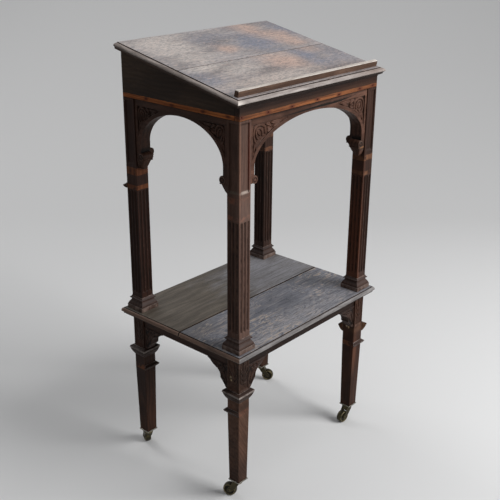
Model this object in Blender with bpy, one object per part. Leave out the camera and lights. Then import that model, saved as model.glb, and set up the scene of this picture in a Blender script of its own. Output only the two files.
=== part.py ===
"""Oak rostrum desk: a sloping top on four arched posts, an open shelf, tapered legs and swivel casters.

Metres, +Z up. The front, with the low edge of the desk, faces -Y.
The origin is on the floor under the middle.
"""
import math

import bmesh
import bpy
from mathutils import Matrix
from mathutils.geometry import tessellate_polygon

for leftover in list(bpy.data.objects):
    bpy.data.objects.remove(leftover)

# Clearances
SEAT_GAP = 0.0003
SWIVEL_GAP = 0.0004
WHEEL_CLEARANCE = 0.0025
CHEEK_CLEARANCE = 0.0008
AXLE_CLEARANCE = 0.0003

# Plan: distances between the axes of the posts
POST_SPAN_X = 0.536
POST_SPAN_Y = 0.377
POST_SIDE = 0.042

# Casters
CASTER_HEIGHT = 0.058
PLATE_SIDE = 0.0395
PLATE_THICKNESS = 0.0035
PINTLE_RADIUS = 0.004
BOSS_RADIUS = 0.0115
BOSS_HEIGHT = 0.012
FORK_SET_IN = 0.0015
CASTER_TRAIL = 0.024
WHEEL_RADIUS = 0.020
WHEEL_WIDTH = 0.017
WHEEL_CROWN = 0.0014
WHEEL_TREAD = 0.0057
WHEEL_DISH = 0.0025
WHEEL_RIM = 0.0045
HUB_RADIUS = 0.0062
CHEEK_THICKNESS = 0.003
EYE_RADIUS = 0.0065
EYE_START = math.radians(-140)
EYE_END = math.radians(40)
AXLE_RADIUS = 0.0025
RIVET_RADIUS = 0.0042
RIVET_HEIGHT = 0.0014

# Legs with their collars and brackets
LEG_LENGTH = 0.399
LEG_FOOT_SIDE = 0.0355
COLLAR_DROP = 0.1055
COLLAR_HEIGHT = 0.030
COLLAR_WEATHERING = 0.003
COLLAR_FASCIA = 0.006
COLLAR_OUT = 0.0108
COLLAR_SWELL = 0.0002
NECK_LENGTH = 0.028
BAND_HEIGHT = 0.0155
BAND_OUT = 0.008
BAND_NOSE = 0.0015
BAND_FOOT_OUT = 0.002
BAND_NOSE_UP = 0.008
BRACKET_REACH = 0.077
BRACKET_TOE = 0.0015
BRACKET_THICKNESS = 0.028
BRACKET_SETBACK = 0.003

# Cusps of a bracket's lower edge from toe to foot, as shares of its reach and of its height,
# each with the hollow in metres of the curve that leads on from it
BRACKET_CUSPS = ((0.83, 0.11, -0.0016), (0.53, 0.31, 0.0042), (0.375, 0.66, 0.0010), (0.12, 1.0, 0.0))
BRACKET_TOE_HOLLOW = 0.0016

# Rails under the shelf
RAIL_HEIGHT = 0.0345
RAIL_THICKNESS = 0.024
RAIL_SETBACK = 0.0045

# Shelf
SHELF_THICKNESS = 0.019
SHELF_OVERHANG = 0.018
SHELF_NOSE = 0.0065
SHELF_JOINT = 0.004
SHELF_JOINT_Y = -0.005
SHELF_HOUSING = 0.002

# Posts with their bases
POST_LENGTH = 0.6195
BASE_PLINTH_HEIGHT = 0.013
BASE_PLINTH_OUT = 0.0106
BASE_NECK_HEIGHT = 0.0305
BASE_NECK_OUT = 0.0022
BASE_BEAD_OUT = 0.0046
BASE_BEAD_HEIGHT = 0.004
BASE_HEIGHT = 0.040
FLUTE_START = 0.054
FLUTE_END = 0.363
FLUTE_RUNOUT = 0.006
FLUTE_WIDTH = 0.0092
FLUTE_DEPTH = 0.0032
FLUTE_PITCH = 0.0122
POST_BAND_START = 0.3655
PANEL_START = 0.4375
PANEL_SILL = 0.006
PANEL_WIDTH = 0.029
PANEL_DEPTH = 0.004
PANEL_SPLAY = 0.001
PANEL_TOP_MARGIN = 0.006

# Arched aprons
ARCH_THICKNESS = 0.034
ARCH_SETBACK = 0.003
ARCH_REVEAL = 0.016
ARCH_CROWN_DROP = 0.020
ARCH_RISE = 0.1027
ARCHIVOLT = 0.010
SPANDREL_MARGIN = 0.009
SPANDREL_TIP = 0.003
SPANDREL_DEPTH = 0.004
ROLL_RADIUS = 0.0125
ROLL_OUT = 0.014
ROLL_DROP = 0.1614
ROLL_END = math.radians(225)
CUP_HEIGHT = 0.0255
CUP_FOOT = 0.012
CUP_FOOT_WIDTH = 0.013

# Desk case and sloping top
CASE_FRONT_HEIGHT = 0.0372
CASE_BOARD = 0.016
CASE_FLOOR = 0.010
SLOPE_ANGLE = math.radians(11.85)
SLOPE_THICKNESS = 0.018
SLOPE_SIDE_OVERHANG = 0.008
SLOPE_FRONT_OVERHANG = 0.003
SLOPE_REAR_OVERHANG = 0.002
SLOPE_NOSE = 0.0125
SLOPE_JOINT = 0.0008
SLOPE_LOWER_DEPTH = 0.208
NOSE_QUIRK = 0.0016
NOSE_FILLET = 0.0012
NOSE_FALL = 0.0004
NOSE_LOWER = 0.006
NOSE_SETBACK = 0.004
STOP_LENGTH = 0.580
STOP_DEPTH = 0.013
STOP_HEIGHT = 0.014
STOP_ROUND = 0.003
STOP_SET_IN = 0.009
BED_SIZE = 0.0065

# How each caster stands, as the direction in which its wheel trails
CASTER_TURNS = {
    "front_left": math.radians(112),
    "front_right": math.radians(174),
    "rear_left": math.radians(62),
    "rear_right": math.radians(-52),
}

# Facets in half an arch, in a flute, in a small round stretch and in a full turn
ARCH_STEPS = 12
FLUTE_STEPS = 3
ROUND_STEPS = 5
TURN_STEPS = 20

# Edges that turn by more than this stay sharp on the round pieces
SHARP_EDGE = math.radians(35)

# Levels and faces worked out from the sizes above
POST_X = POST_SPAN_X / 2
POST_Y = POST_SPAN_Y / 2
POST_HALF = POST_SIDE / 2
LEG_Z = CASTER_HEIGHT + PLATE_THICKNESS + SEAT_GAP
SHELF_Z = LEG_Z + LEG_LENGTH + SEAT_GAP
POST_Z = SHELF_Z + SHELF_THICKNESS + SEAT_GAP
CASE_Z = POST_Z + POST_LENGTH + SEAT_GAP
CASE_X = POST_X + POST_HALF
CASE_Y = POST_Y + POST_HALF
COLLAR_Z = SHELF_Z - COLLAR_DROP - COLLAR_HEIGHT
BAND_Z = COLLAR_Z - NECK_LENGTH - BAND_HEIGHT
HORN_TOP = CASTER_HEIGHT - SWIVEL_GAP
HORN_BOTTOM = CASTER_HEIGHT - BOSS_HEIGHT
SLOT_HALF = WHEEL_WIDTH / 2 + CHEEK_CLEARANCE
FORK_HALF = SLOT_HALF + CHEEK_THICKNESS

# The four corners: signs of X and Y, and the quarter turn that takes the front left corner there
CORNERS = {
    "front_left": (-1, -1, 0),
    "front_right": (1, -1, 1),
    "rear_right": (1, 1, 2),
    "rear_left": (-1, 1, 3),
}
QUARTER = math.pi / 2

# Finishes: colour, roughness, metallic
FINISHES = {
    "dark_oak": ((0.060, 0.034, 0.026, 1), 0.45, 0.0),
    "worn_oak": ((0.300, 0.250, 0.210, 1), 0.60, 0.0),
    "shelf_oak": ((0.130, 0.110, 0.090, 1), 0.60, 0.0),
    "tarnished_brass": ((0.120, 0.095, 0.045, 1), 0.40, 1.0),
}


def make_finish(name):
    """A Principled material from the table of finishes."""
    colour, roughness, metallic = FINISHES[name]
    material = bpy.data.materials.new(name)
    material.use_nodes = True
    shader = material.node_tree.nodes["Principled BSDF"]
    shader.inputs["Base Color"].default_value = colour
    shader.inputs["Roughness"].default_value = roughness
    shader.inputs["Metallic"].default_value = metallic
    return material


MATERIALS = {name: make_finish(name) for name in FINISHES}


def solid(name, points, faces, finish, smooth=False):
    """A closed mesh from points and faces, facing out."""
    mesh = bpy.data.meshes.new(name)
    shape = bmesh.new()
    corners = [shape.verts.new(point) for point in points]
    for face in faces:
        shape.faces.new([corners[index] for index in face])
    bmesh.ops.recalc_face_normals(shape, faces=shape.faces)
    shape.to_mesh(mesh)
    shape.free()
    mesh.materials.append(MATERIALS[finish])
    if smooth:
        mesh.shade_smooth()
        mesh.set_sharp_from_angle(angle=SHARP_EDGE)
    return mesh


def piece(name, mesh, location=(0, 0, 0), turn=0.0, parent=None):
    """A named object that shows a mesh at a place, turned about Z."""
    made = bpy.data.objects.new(name, mesh)
    bpy.context.scene.collection.objects.link(made)
    made.location = location
    made.rotation_euler = (0, 0, turn)
    made.parent = parent
    return made


def loft(name, rings, finish, capped=True, smooth=False):
    """Equal rings of points joined in order: capped at both ends, or closed into a loop."""
    count = len(rings[0])
    points = [point for ring in rings for point in ring]
    faces = []
    for low in range(len(rings) if not capped else len(rings) - 1):
        high = (low + 1) % len(rings)
        for side in range(count):
            ahead = (side + 1) % count
            faces.append((low * count + side, low * count + ahead, high * count + ahead, high * count + side))
    if capped:
        faces.append(tuple(range(count)))
        faces.append(tuple(range(len(points) - count, len(points))))
    return solid(name, points, faces, finish, smooth)


def prism(name, outline, start, end, place, finish):
    """An outline drawn out between two depths, put in space by a function of across, up and depth."""
    ends = [[place(across, up, depth) for across, up in outline] for depth in (start, end)]
    return loft(name, ends, finish)


def box(name, low, high, finish):
    """A board with square edges between two corners."""
    outline = [(low[0], low[1]), (high[0], low[1]), (high[0], high[1]), (low[0], high[1])]
    return prism(name, outline, low[2], high[2], lambda x, y, z: (x, y, z), finish)


def arc(centre, radius, start, end, steps):
    """Points along a circular arc, both ends included."""
    turns = [start + (end - start) * step / steps for step in range(steps + 1)]
    return [(centre[0] + radius * math.cos(turn), centre[1] + radius * math.sin(turn)) for turn in turns]


def bowed(start, end, bulge, steps):
    """Points from start to just before end along a shallow bow to the right of the line."""
    run = (end[0] - start[0], end[1] - start[1])
    length = math.hypot(*run)
    points = []
    for step in range(steps):
        share = step / steps
        rise = 4 * bulge * share * (1 - share) / length
        points.append((start[0] + run[0] * share + run[1] * rise, start[1] + run[1] * share - run[0] * rise))
    return points


def mitred(name, profile, half, corners, finish, closed=False):
    """A moulding run round a square post, mitred at each corner; the profile is out from the post and up."""
    rings = [[(sx * (half + out), sy * (half + out), up) for out, up in profile] for sx, sy in corners]
    return loft(name, rings, finish, capped=not closed)


def edge_profile(thickness, nose):
    """A thumbnail edge as outward reach and height below the top face, from the underside up."""
    lower = NOSE_LOWER
    span = thickness - lower - NOSE_QUIRK
    points = [(nose - NOSE_SETBACK, -thickness), (nose, lower - thickness)]
    for step in range(1, ROUND_STEPS + 1):
        turn = QUARTER * step / ROUND_STEPS
        reach = NOSE_FILLET + (nose - NOSE_FILLET) * math.cos(turn)
        points.append((reach, lower - thickness + span * math.sin(turn)))
    return points + [(0, NOSE_FALL - NOSE_QUIRK), (0, 0)]


def board(name, profile, half_x, near, far, moulded_near, moulded_far, finish):
    """A board moulded at both ends, and along its near or far edge where asked."""
    rings = []
    for reach, height in profile:
        front = near - reach if moulded_near else near
        rear = far + reach if moulded_far else far
        side = half_x + reach
        corners = [(-side, front), (side, front), (side, rear), (-side, rear)]
        rings.append([(x, y, height) for x, y in corners])
    return loft(name, rings, finish)


def slope_height(y, above=0.0):
    """Height of the top face of the slope at a depth y, or of a plane that far above it."""
    seat = CASE_Z + CASE_FRONT_HEIGHT
    rise = (y + CASE_Y) * math.tan(SLOPE_ANGLE)
    return seat + rise + (SEAT_GAP + SLOPE_THICKNESS + above) / math.cos(SLOPE_ANGLE)


def case_top(y):
    """Height of the upper edge of the desk case at a depth y."""
    return slope_height(y, -SLOPE_THICKNESS - SEAT_GAP)


def make_slope():
    """The two boards of the sloping top and the book stop, laid out flat and then tilted."""
    half_x = CASE_X + SLOPE_SIDE_OVERHANG
    front_y = -CASE_Y - SLOPE_FRONT_OVERHANG
    depth = (CASE_Y + SLOPE_REAR_OVERHANG - front_y) / math.cos(SLOPE_ANGLE)
    profile = edge_profile(SLOPE_THICKNESS, SLOPE_NOSE)
    lower = board("slope_board_lower", profile, half_x, 0, SLOPE_LOWER_DEPTH, True, False, "worn_oak")
    upper = board("slope_board_upper", profile, half_x, SLOPE_LOWER_DEPTH + SLOPE_JOINT, depth, False, False,
                  "worn_oak")
    stop_far = STOP_SET_IN + STOP_DEPTH
    rounding = [(STOP_SET_IN + STOP_ROUND, 1), (stop_far - STOP_ROUND, 0)]
    outline = [(STOP_SET_IN, SEAT_GAP), (stop_far, SEAT_GAP)]
    for across, quarter in reversed(rounding):
        start = quarter * QUARTER
        outline += arc((across, STOP_HEIGHT - STOP_ROUND), STOP_ROUND, start, start + QUARTER, ROUND_STEPS)
    end = STOP_LENGTH / 2
    stop = prism("book_stop", outline, -end, end, lambda s, n, x: (x, s, n), "worn_oak")
    for mesh in (lower, upper, stop):
        made = piece(mesh.name, mesh, (0, front_y, slope_height(front_y)))
        made.rotation_euler = (SLOPE_ANGLE, 0, 0)


def make_case():
    """The desk case: front rail over the ends of the sides, back board and floor between the sides."""
    inner_x = CASE_X - CASE_BOARD - SEAT_GAP
    inner_front = CASE_BOARD - CASE_Y

    def rail(name, front, rear, half_x):
        outline = [(front, CASE_Z), (rear, CASE_Z), (rear, case_top(rear)), (front, case_top(front))]
        piece(name, prism(name, outline, -half_x, half_x, lambda y, z, x: (x, y, z), "dark_oak"))

    rail("desk_front_rail", -CASE_Y, inner_front, CASE_X)
    rail("desk_back_board", CASE_Y - CASE_BOARD, CASE_Y, inner_x)
    near = inner_front + SEAT_GAP
    outline = [(near, CASE_Z), (CASE_Y, CASE_Z), (CASE_Y, case_top(CASE_Y)), (near, case_top(near))]
    for name, outer in (("desk_side_left", -CASE_X), ("desk_side_right", CASE_X - CASE_BOARD)):
        piece(name, prism(name, outline, outer, outer + CASE_BOARD, lambda y, z, x: (x, y, z), "dark_oak"))
    far = CASE_Y - CASE_BOARD - SEAT_GAP
    corner = (inner_x, far, CASE_Z + CASE_FLOOR)
    floor = box("desk_bottom_board", (-inner_x, near, CASE_Z), corner, "dark_oak")
    piece(floor.name, floor)


def make_bed_moulding():
    """The cove under the overhang of the top, mitred round the front and both sides."""
    cove = arc((BED_SIZE, BED_SIZE), BED_SIZE - 2 * SEAT_GAP, -QUARTER, -math.pi, ROUND_STEPS)
    profile = [(SEAT_GAP, SEAT_GAP), (BED_SIZE, SEAT_GAP)] + cove + [(SEAT_GAP, BED_SIZE)]
    rings = []
    for side, at_front in ((-1, False), (-1, True), (1, True), (1, False)):
        ring = []
        for out, drop in profile:
            y = -CASE_Y - out if at_front else CASE_Y
            ring.append((side * (CASE_X + out), y, slope_height(y, -SLOPE_THICKNESS - drop)))
        rings.append(ring)
    mesh = loft("bed_moulding", rings, "dark_oak")
    piece(mesh.name, mesh)


def arch_outline(half, top):
    """Half of an apron from the crown of its arch to the foot of its roll, as points across and up."""
    edge = half - ARCH_REVEAL
    spring = top - ARCH_CROWN_DROP - ARCH_RISE
    points = []
    for step in range(ARCH_STEPS + 1):
        turn = QUARTER * (1 - step / ARCH_STEPS)
        points.append((edge * math.cos(turn), spring + ARCH_RISE * math.sin(turn)))
    roll = (edge - ROLL_OUT + ROLL_RADIUS, top - ROLL_DROP)
    start = math.acos((ROLL_OUT - ROLL_RADIUS) / ROLL_RADIUS)
    points += arc(roll, ROLL_RADIUS, start, ROLL_END, 2 * ROUND_STEPS)
    return points + [(half, points[-1][1])]


def spandrel_outline(half, top):
    """The sunk panel between the archivolt, the post and the top margin, on the right of the arch."""
    spring = top - ARCH_CROWN_DROP - ARCH_RISE
    across = half - ARCH_REVEAL + ARCHIVOLT
    rise = ARCH_RISE + ARCHIVOLT
    side = half - SPANDREL_MARGIN
    upper = top - SPANDREL_MARGIN
    start = math.acos(side / across)
    end = math.asin((upper - SPANDREL_TIP - spring) / rise)
    points = [(side, upper)]
    for step in range(ARCH_STEPS + 1):
        turn = start + (end - start) * step / ARCH_STEPS
        points.append((across * math.cos(turn), spring + rise * math.sin(turn)))
    return points + [(across * math.cos(end), upper)]


def arch_mesh(name, span, left_cup=True):
    """An arched apron between two posts: sunk spandrels in front, a roll and a cup at each springing.

    Without its left cup, the roll on that side ends in a flat underside.
    """
    half = span / 2 - POST_HALF - SEAT_GAP
    top = POST_LENGTH
    front = ARCH_SETBACK - POST_HALF
    back = front + ARCH_THICKNESS
    right = arch_outline(half, top)
    outline = [(-half, top), (half, top)] + right[::-1] + [(-across, up) for across, up in right[1:]]
    panel = spandrel_outline(half, top)
    panels = [panel, [(-across, up) for across, up in panel]]
    points = []
    faces = []

    def layer(line, depth):
        first = len(points)
        points.extend((across, depth, up) for across, up in line)
        return list(range(first, len(points)))

    def skirt(one, other, skipped=()):
        for index in range(len(one)):
            ahead = (index + 1) % len(one)
            if index not in skipped:
                faces.append((one[index], one[ahead], other[ahead], other[index]))

    def fill(lines, indices):
        flat = [[(across, up, 0) for across, up in line] for line in lines]
        faces.extend(tuple(indices[corner] for corner in triangle) for triangle in tessellate_polygon(flat))

    def cup(ring, outer, inner):
        """Carry the foot of the roll down the post as a shield-shaped cup that narrows both ways."""
        level = points[ring[0]][2]
        middle = (front + back) / 2
        foot = outer - math.copysign(CUP_FOOT, outer)
        pinch = 1 - (CUP_FOOT_WIDTH / ARCH_THICKNESS) ** 2
        for step in range(1, ROUND_STEPS + 1):
            share = step / ROUND_STEPS
            reach = inner + (foot - inner) * math.sin(QUARTER * share)
            deep = ARCH_THICKNESS / 2 * math.sqrt(1 - pinch * share * share)
            up = level - CUP_HEIGHT * share
            first = len(points)
            points.extend([(outer, middle - deep, up), (reach, middle - deep, up),
                           (reach, middle + deep, up), (outer, middle + deep, up)])
            lower = list(range(first, first + len(ring)))
            skirt(ring, lower)
            ring = lower
        faces.append(tuple(ring))

    fore = layer(outline, front)
    aft = layer(outline, back)
    last = len(outline) - 1
    right_foot = 2
    left_foot = last - 1
    feet = [(right_foot, right_foot + 1)]
    if left_cup:
        feet.append((last, left_foot))
    skirt(fore, aft, [min(foot) for foot in feet])
    holes = [layer(line, front) for line in panels]
    fill([outline] + panels, fore + holes[0] + holes[1])
    fill([outline], aft)
    for line, rim in zip(panels, holes):
        ground = layer(line, front + SPANDREL_DEPTH)
        skirt(rim, ground)
        fill([line], ground)
    for outer, inner in feet:
        ring = [fore[outer], fore[inner], aft[inner], aft[outer]]
        cup(ring, outline[outer][0], outline[inner][0])
    return solid(name, points, faces, "dark_oak")


def make_arches():
    """Aprons between the posts, each facing outwards; the front one has lost its left cup."""
    front = arch_mesh("arch_front", POST_SPAN_X, left_cup=False)
    rear = arch_mesh("arch_rear", POST_SPAN_X)
    narrow = arch_mesh("arch_narrow", POST_SPAN_Y)
    piece("arch_front", front, (0, -POST_Y, POST_Z))
    piece("arch_rear", rear, (0, POST_Y, POST_Z), 2 * QUARTER)
    piece("arch_left", narrow, (-POST_X, 0, POST_Z), -QUARTER)
    piece("arch_right", narrow, (POST_X, 0, POST_Z), QUARTER)


def post_face(kind):
    """Offsets along one face of a post and inwards from it, starting at the face's first corner."""
    points = [(-POST_HALF, 0)]
    edge = PANEL_WIDTH / 2
    ground = edge - PANEL_SPLAY
    inner = 3 * (FLUTE_STEPS + 1) - 2
    if kind.startswith("panel"):
        sunk = PANEL_DEPTH if kind == "panel_sunk" else 0
        points.append((-edge, 0))
        points += [(ground * (2 * step / (inner - 1) - 1), sunk) for step in range(inner)]
        return points + [(edge, 0)]
    for flute in (-1, 0, 1):
        for step in range(FLUTE_STEPS + 1):
            share = 2 * step / FLUTE_STEPS - 1
            depth = FLUTE_DEPTH * (1 - share * share) if kind == "fluted" else 0
            points.append((flute * FLUTE_PITCH + share * FLUTE_WIDTH / 2, depth))
    return points


def post_ring(height, outer_kind, inner_kind):
    """One level of a post, whose outer faces look to -X and -Y."""
    ring = []
    for quarter, kind in enumerate((outer_kind, inner_kind, inner_kind, outer_kind)):
        spin = Matrix.Rotation(quarter * QUARTER, 3, "Z")
        ring += [tuple(spin @ Matrix.Translation((along, inward - POST_HALF, height)).to_translation())
                 for along, inward in post_face(kind)]
    return ring


def make_posts():
    """Posts with flutes on all faces below and sunk panels on the two outer faces above."""
    panel_top = POST_LENGTH - PANEL_TOP_MARGIN
    levels = [
        (-SHELF_HOUSING, "plain", "plain"),
        (FLUTE_START, "plain", "plain"),
        (FLUTE_START + FLUTE_RUNOUT, "fluted", "fluted"),
        (FLUTE_END - FLUTE_RUNOUT, "fluted", "fluted"),
        (FLUTE_END, "plain", "plain"),
        (PANEL_START, "panel", "plain"),
        (PANEL_START + PANEL_SILL, "panel_sunk", "plain"),
        (panel_top - PANEL_SPLAY, "panel_sunk", "plain"),
        (panel_top, "panel", "plain"),
        (POST_LENGTH, "panel", "plain"),
    ]
    post = loft("post", [post_ring(*level) for level in levels], "dark_oak")
    neck = BASE_NECK_HEIGHT
    swell = (BASE_PLINTH_OUT + BASE_NECK_OUT) / 2
    ogee = []
    for step in range(1, ROUND_STEPS + 1):
        share = step / ROUND_STEPS
        fall = (1 + math.cos(math.pi * share)) / 2
        ogee.append((BASE_NECK_OUT + (swell - BASE_NECK_OUT) * 2 * fall,
                     BASE_PLINTH_HEIGHT + (neck - BASE_PLINTH_HEIGHT) * share))
    bead = neck + BASE_BEAD_HEIGHT
    foot = SEAT_GAP - SHELF_HOUSING
    profile = [(SEAT_GAP, foot), (BASE_PLINTH_OUT, foot), (BASE_PLINTH_OUT, BASE_PLINTH_HEIGHT)] + ogee
    profile += [(BASE_BEAD_OUT, (neck + bead) / 2), (BASE_BEAD_OUT, bead), (2 * SEAT_GAP, BASE_HEIGHT)]
    profile += [(SEAT_GAP, BASE_HEIGHT)]
    round_post = [(-1, -1), (1, -1), (1, 1), (-1, 1)]
    base = mitred("post_base", profile, POST_HALF, round_post, "dark_oak", closed=True)
    for corner, (sx, sy, quarter) in CORNERS.items():
        place = (sx * POST_X, sy * POST_Y, POST_Z)
        piece("post_" + corner, post, place, quarter * QUARTER)
        piece("post_base_" + corner, base, (place[0], place[1], SHELF_Z + SHELF_THICKNESS))


def band_profile():
    """A small weathered band: sloping top, blunt nose, splayed underside; out from the post and up."""
    return [(SEAT_GAP, 0), (BAND_FOOT_OUT, 0), (BAND_OUT, BAND_NOSE_UP), (BAND_OUT, BAND_NOSE_UP + BAND_NOSE),
            (SEAT_GAP, BAND_HEIGHT)]


def make_post_band():
    """The one length of band left on the posts, on the rear face of the rear left one."""
    mesh = mitred("post_band_rear_left", band_profile(), POST_HALF, [(-1, 1), (1, 1)], "dark_oak")
    piece(mesh.name, mesh, (-POST_X, POST_Y, POST_Z + POST_BAND_START))


def make_shelf():
    """Two shelf boards with a gap between them, moulded round the outside and housed for the posts' bases."""
    half_x = CASE_X + SHELF_OVERHANG
    half_y = CASE_Y + SHELF_OVERHANG
    profile = edge_profile(SHELF_THICKNESS, SHELF_NOSE)
    gap = SHELF_JOINT / 2
    near = SHELF_JOINT_Y - gap
    far = SHELF_JOINT_Y + gap
    front = board("shelf_board_front", profile, half_x, -half_y, near, True, False, "shelf_oak")
    rear = board("shelf_board_rear", profile, half_x, far, half_y, False, True, "shelf_oak")
    half = POST_HALF + BASE_PLINTH_OUT + SEAT_GAP
    for mesh, row in ((front, -1), (rear, 1)):
        housings = []
        for side in (-1, 1):
            low = (side * POST_X - half, row * POST_Y - half, -SHELF_HOUSING)
            high = (side * POST_X + half, row * POST_Y + half, SHELF_HOUSING)
            housings.append(("DIFFERENCE", box("housing", low, high, "shelf_oak")))
        piece(mesh.name, carve(mesh, housings), (0, 0, SHELF_Z + SHELF_THICKNESS))


def square(half, height):
    """A square ring at a height."""
    return [(-half, -half, height), (half, -half, height), (half, half, height), (-half, half, height)]


def collar_profile():
    """A weathered top and a fascia over a slightly swelling splay, out from the leg and up."""
    edge = COLLAR_HEIGHT - COLLAR_WEATHERING
    splay = bowed((2 * SEAT_GAP, 0), (COLLAR_OUT, edge - COLLAR_FASCIA), COLLAR_SWELL, ROUND_STEPS)
    fascia = [(COLLAR_OUT, edge - COLLAR_FASCIA), (COLLAR_OUT, edge)]
    return [(SEAT_GAP, 0)] + splay + fascia + [(SEAT_GAP, COLLAR_HEIGHT)]


def bracket_mesh():
    """A cusped bracket in the angle of leg and rail, reaching along +X, with its face to -Y."""
    inner = POST_HALF + SEAT_GAP
    top = -RAIL_HEIGHT - 2 * SEAT_GAP
    foot = SEAT_GAP - COLLAR_DROP
    toe = POST_HALF + BRACKET_REACH
    outline = [(inner, foot), (inner, top), (toe, top)]
    point = (toe, top - BRACKET_TOE)
    hollow = BRACKET_TOE_HOLLOW
    for reach, drop, onward in BRACKET_CUSPS:
        cusp = (POST_HALF + BRACKET_REACH * reach, top + (foot - top) * drop)
        outline += bowed(point, cusp, hollow, ROUND_STEPS - 1)
        point = cusp
        hollow = onward
    outline.append(point)
    near = BRACKET_SETBACK - POST_HALF
    return prism("bracket", outline, near, near + BRACKET_THICKNESS, lambda x, z, y: (x, y, z), "dark_oak")


def make_rails():
    """Plain rails between the legs, close under the shelf."""
    near = RAIL_SETBACK - POST_HALF
    for axis, span, places in (("x", POST_SPAN_X, (("front", 0, -POST_Y, 0), ("rear", 0, POST_Y, 2))),
                               ("y", POST_SPAN_Y, (("left", -POST_X, 0, 3), ("right", POST_X, 0, 1)))):
        half = span / 2 - POST_HALF - SEAT_GAP
        low = (-half, near, -RAIL_HEIGHT - SEAT_GAP)
        rail = box("shelf_rail_" + axis, low, (half, near + RAIL_THICKNESS, -SEAT_GAP), "dark_oak")
        for side, x, y, quarter in places:
            piece("shelf_rail_" + side, rail, (x, y, SHELF_Z), quarter * QUARTER)


def mirrored(mesh, name):
    """A copy of a mesh mirrored across its own YZ plane, still facing out."""
    copy = mesh.copy()
    copy.name = name
    copy.transform(Matrix.Scale(-1, 4, (1, 0, 0)))
    copy.flip_normals()
    return copy


def make_legs():
    """Legs with their collars, bands and brackets; three of the bands keep only two sides."""
    foot = LEG_FOOT_SIDE / 2
    band_up = BAND_Z - LEG_Z
    rings = [square(foot, 0), square(POST_HALF, band_up), square(POST_HALF, LEG_LENGTH)]
    leg = loft("leg", rings, "dark_oak")
    all_round = [(-1, -1), (1, -1), (1, 1), (-1, 1)]
    rear_and_left = [(1, 1), (-1, 1), (-1, -1)]
    collar = mitred("leg_collar", collar_profile(), POST_HALF, all_round, "dark_oak", closed=True)
    whole_band = mitred("leg_band_whole", band_profile(), POST_HALF, all_round, "dark_oak", closed=True)
    broken_band = mitred("leg_band_broken", band_profile(), POST_HALF, rear_and_left, "dark_oak")
    bands = {
        "front_left": (broken_band, 0),
        "front_right": (broken_band, 2 * QUARTER),
        "rear_left": (broken_band, 2 * QUARTER),
        "rear_right": (whole_band, 0),
    }
    along_right = bracket_mesh()
    along_left = mirrored(along_right, "bracket_mirrored")
    for corner, (sx, sy, quarter) in CORNERS.items():
        x = sx * POST_X
        y = sy * POST_Y
        piece("leg_" + corner, leg, (x, y, LEG_Z))
        piece("leg_collar_" + corner, collar, (x, y, COLLAR_Z))
        band, turn = bands[corner]
        piece("leg_band_" + corner, band, (x, y, BAND_Z), turn)
        # Seen from outside, one bracket goes to the right of the corner and the other to the left
        turn = quarter * QUARTER
        piece("bracket_%s_right" % corner, along_right, (x, y, SHELF_Z), turn)
        piece("bracket_%s_left" % corner, along_left, (x, y, SHELF_Z), turn - QUARTER)


def disc(radius, steps, place):
    """A ring of points on a circle, put in space by a function of two coordinates."""
    return [place(across, up) for across, up in arc((0, 0), radius, 0, 2 * math.pi, steps)[:-1]]


def plate_mesh():
    """A square plate with the pintle that the horn turns on, under it."""
    half = PLATE_SIDE / 2
    top = CASTER_HEIGHT + PLATE_THICKNESS
    pin_end = HORN_BOTTOM - SWIVEL_GAP
    under = square(half, CASTER_HEIGHT)
    upper = square(half, top)
    root = disc(PINTLE_RADIUS, TURN_STEPS, lambda x, y: (x, y, CASTER_HEIGHT))
    tip = disc(PINTLE_RADIUS, TURN_STEPS, lambda x, y: (x, y, pin_end))
    points = upper + under + root + tip
    faces = [(0, 1, 2, 3), tuple(range(len(points) - TURN_STEPS, len(points)))]
    faces += [(side, (side + 1) % 4, 4 + (side + 1) % 4, 4 + side) for side in range(4)]
    flat = [[(x, y, 0) for x, y, _ in ring] for ring in (under, root)]
    faces += [tuple(4 + corner for corner in triangle) for triangle in tessellate_polygon(flat)]
    for side in range(TURN_STEPS):
        ahead = (side + 1) % TURN_STEPS
        faces.append((8 + side, 8 + ahead, 8 + TURN_STEPS + ahead, 8 + TURN_STEPS + side))
    return solid("caster_plate", points, faces, "tarnished_brass", smooth=True)


def rod(name, radius, start, end, place):
    """A plain round bar between two depths along its own axis."""
    rings = [disc(radius, TURN_STEPS, lambda a, b, depth=depth: place(a, b, depth)) for depth in (start, end)]
    return loft(name, rings, "tarnished_brass", smooth=True)


def carve(base, tools):
    """The mesh that is left when each tool is joined to the base or cut from it."""
    body = piece("carve_base", base)
    helpers = []
    for operation, mesh in tools:
        helper = piece("carve_tool", mesh)
        step = body.modifiers.new("step", "BOOLEAN")
        step.operation = operation
        step.solver = "EXACT"
        step.object = helper
        helpers.append(helper)
    evaluated = body.evaluated_get(bpy.context.evaluated_depsgraph_get())
    carved = bpy.data.meshes.new_from_object(evaluated)
    for helper in helpers + [body]:
        bpy.data.objects.remove(helper)
    carved.name = base.name
    carved.shade_smooth()
    carved.set_sharp_from_angle(angle=SHARP_EDGE)
    return carved


def upright(a, b, depth):
    """Round section across X and Y, depth along Z."""
    return (a, b, depth)


def at_axle(a, b, depth):
    """Round section in the plane of the wheel, about the axle; depth across the wheel."""
    return (CASTER_TRAIL + a, depth, WHEEL_RADIUS + b)


def axle_mesh():
    """A pin across the fork with a low rivet head on the outside of each cheek."""
    cheek = FORK_HALF - SEAT_GAP
    end = FORK_HALF + RIVET_HEIGHT
    stations = [(-end, RIVET_RADIUS / 2), (-cheek, RIVET_RADIUS), (-cheek, AXLE_RADIUS),
                (cheek, AXLE_RADIUS), (cheek, RIVET_RADIUS), (end, RIVET_RADIUS / 2)]
    rings = []
    for depth, radius in stations:
        rings.append(disc(radius, TURN_STEPS, lambda a, b, depth=depth: at_axle(a, b, depth)))
    return loft("axle", rings, "tarnished_brass", smooth=True)


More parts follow.
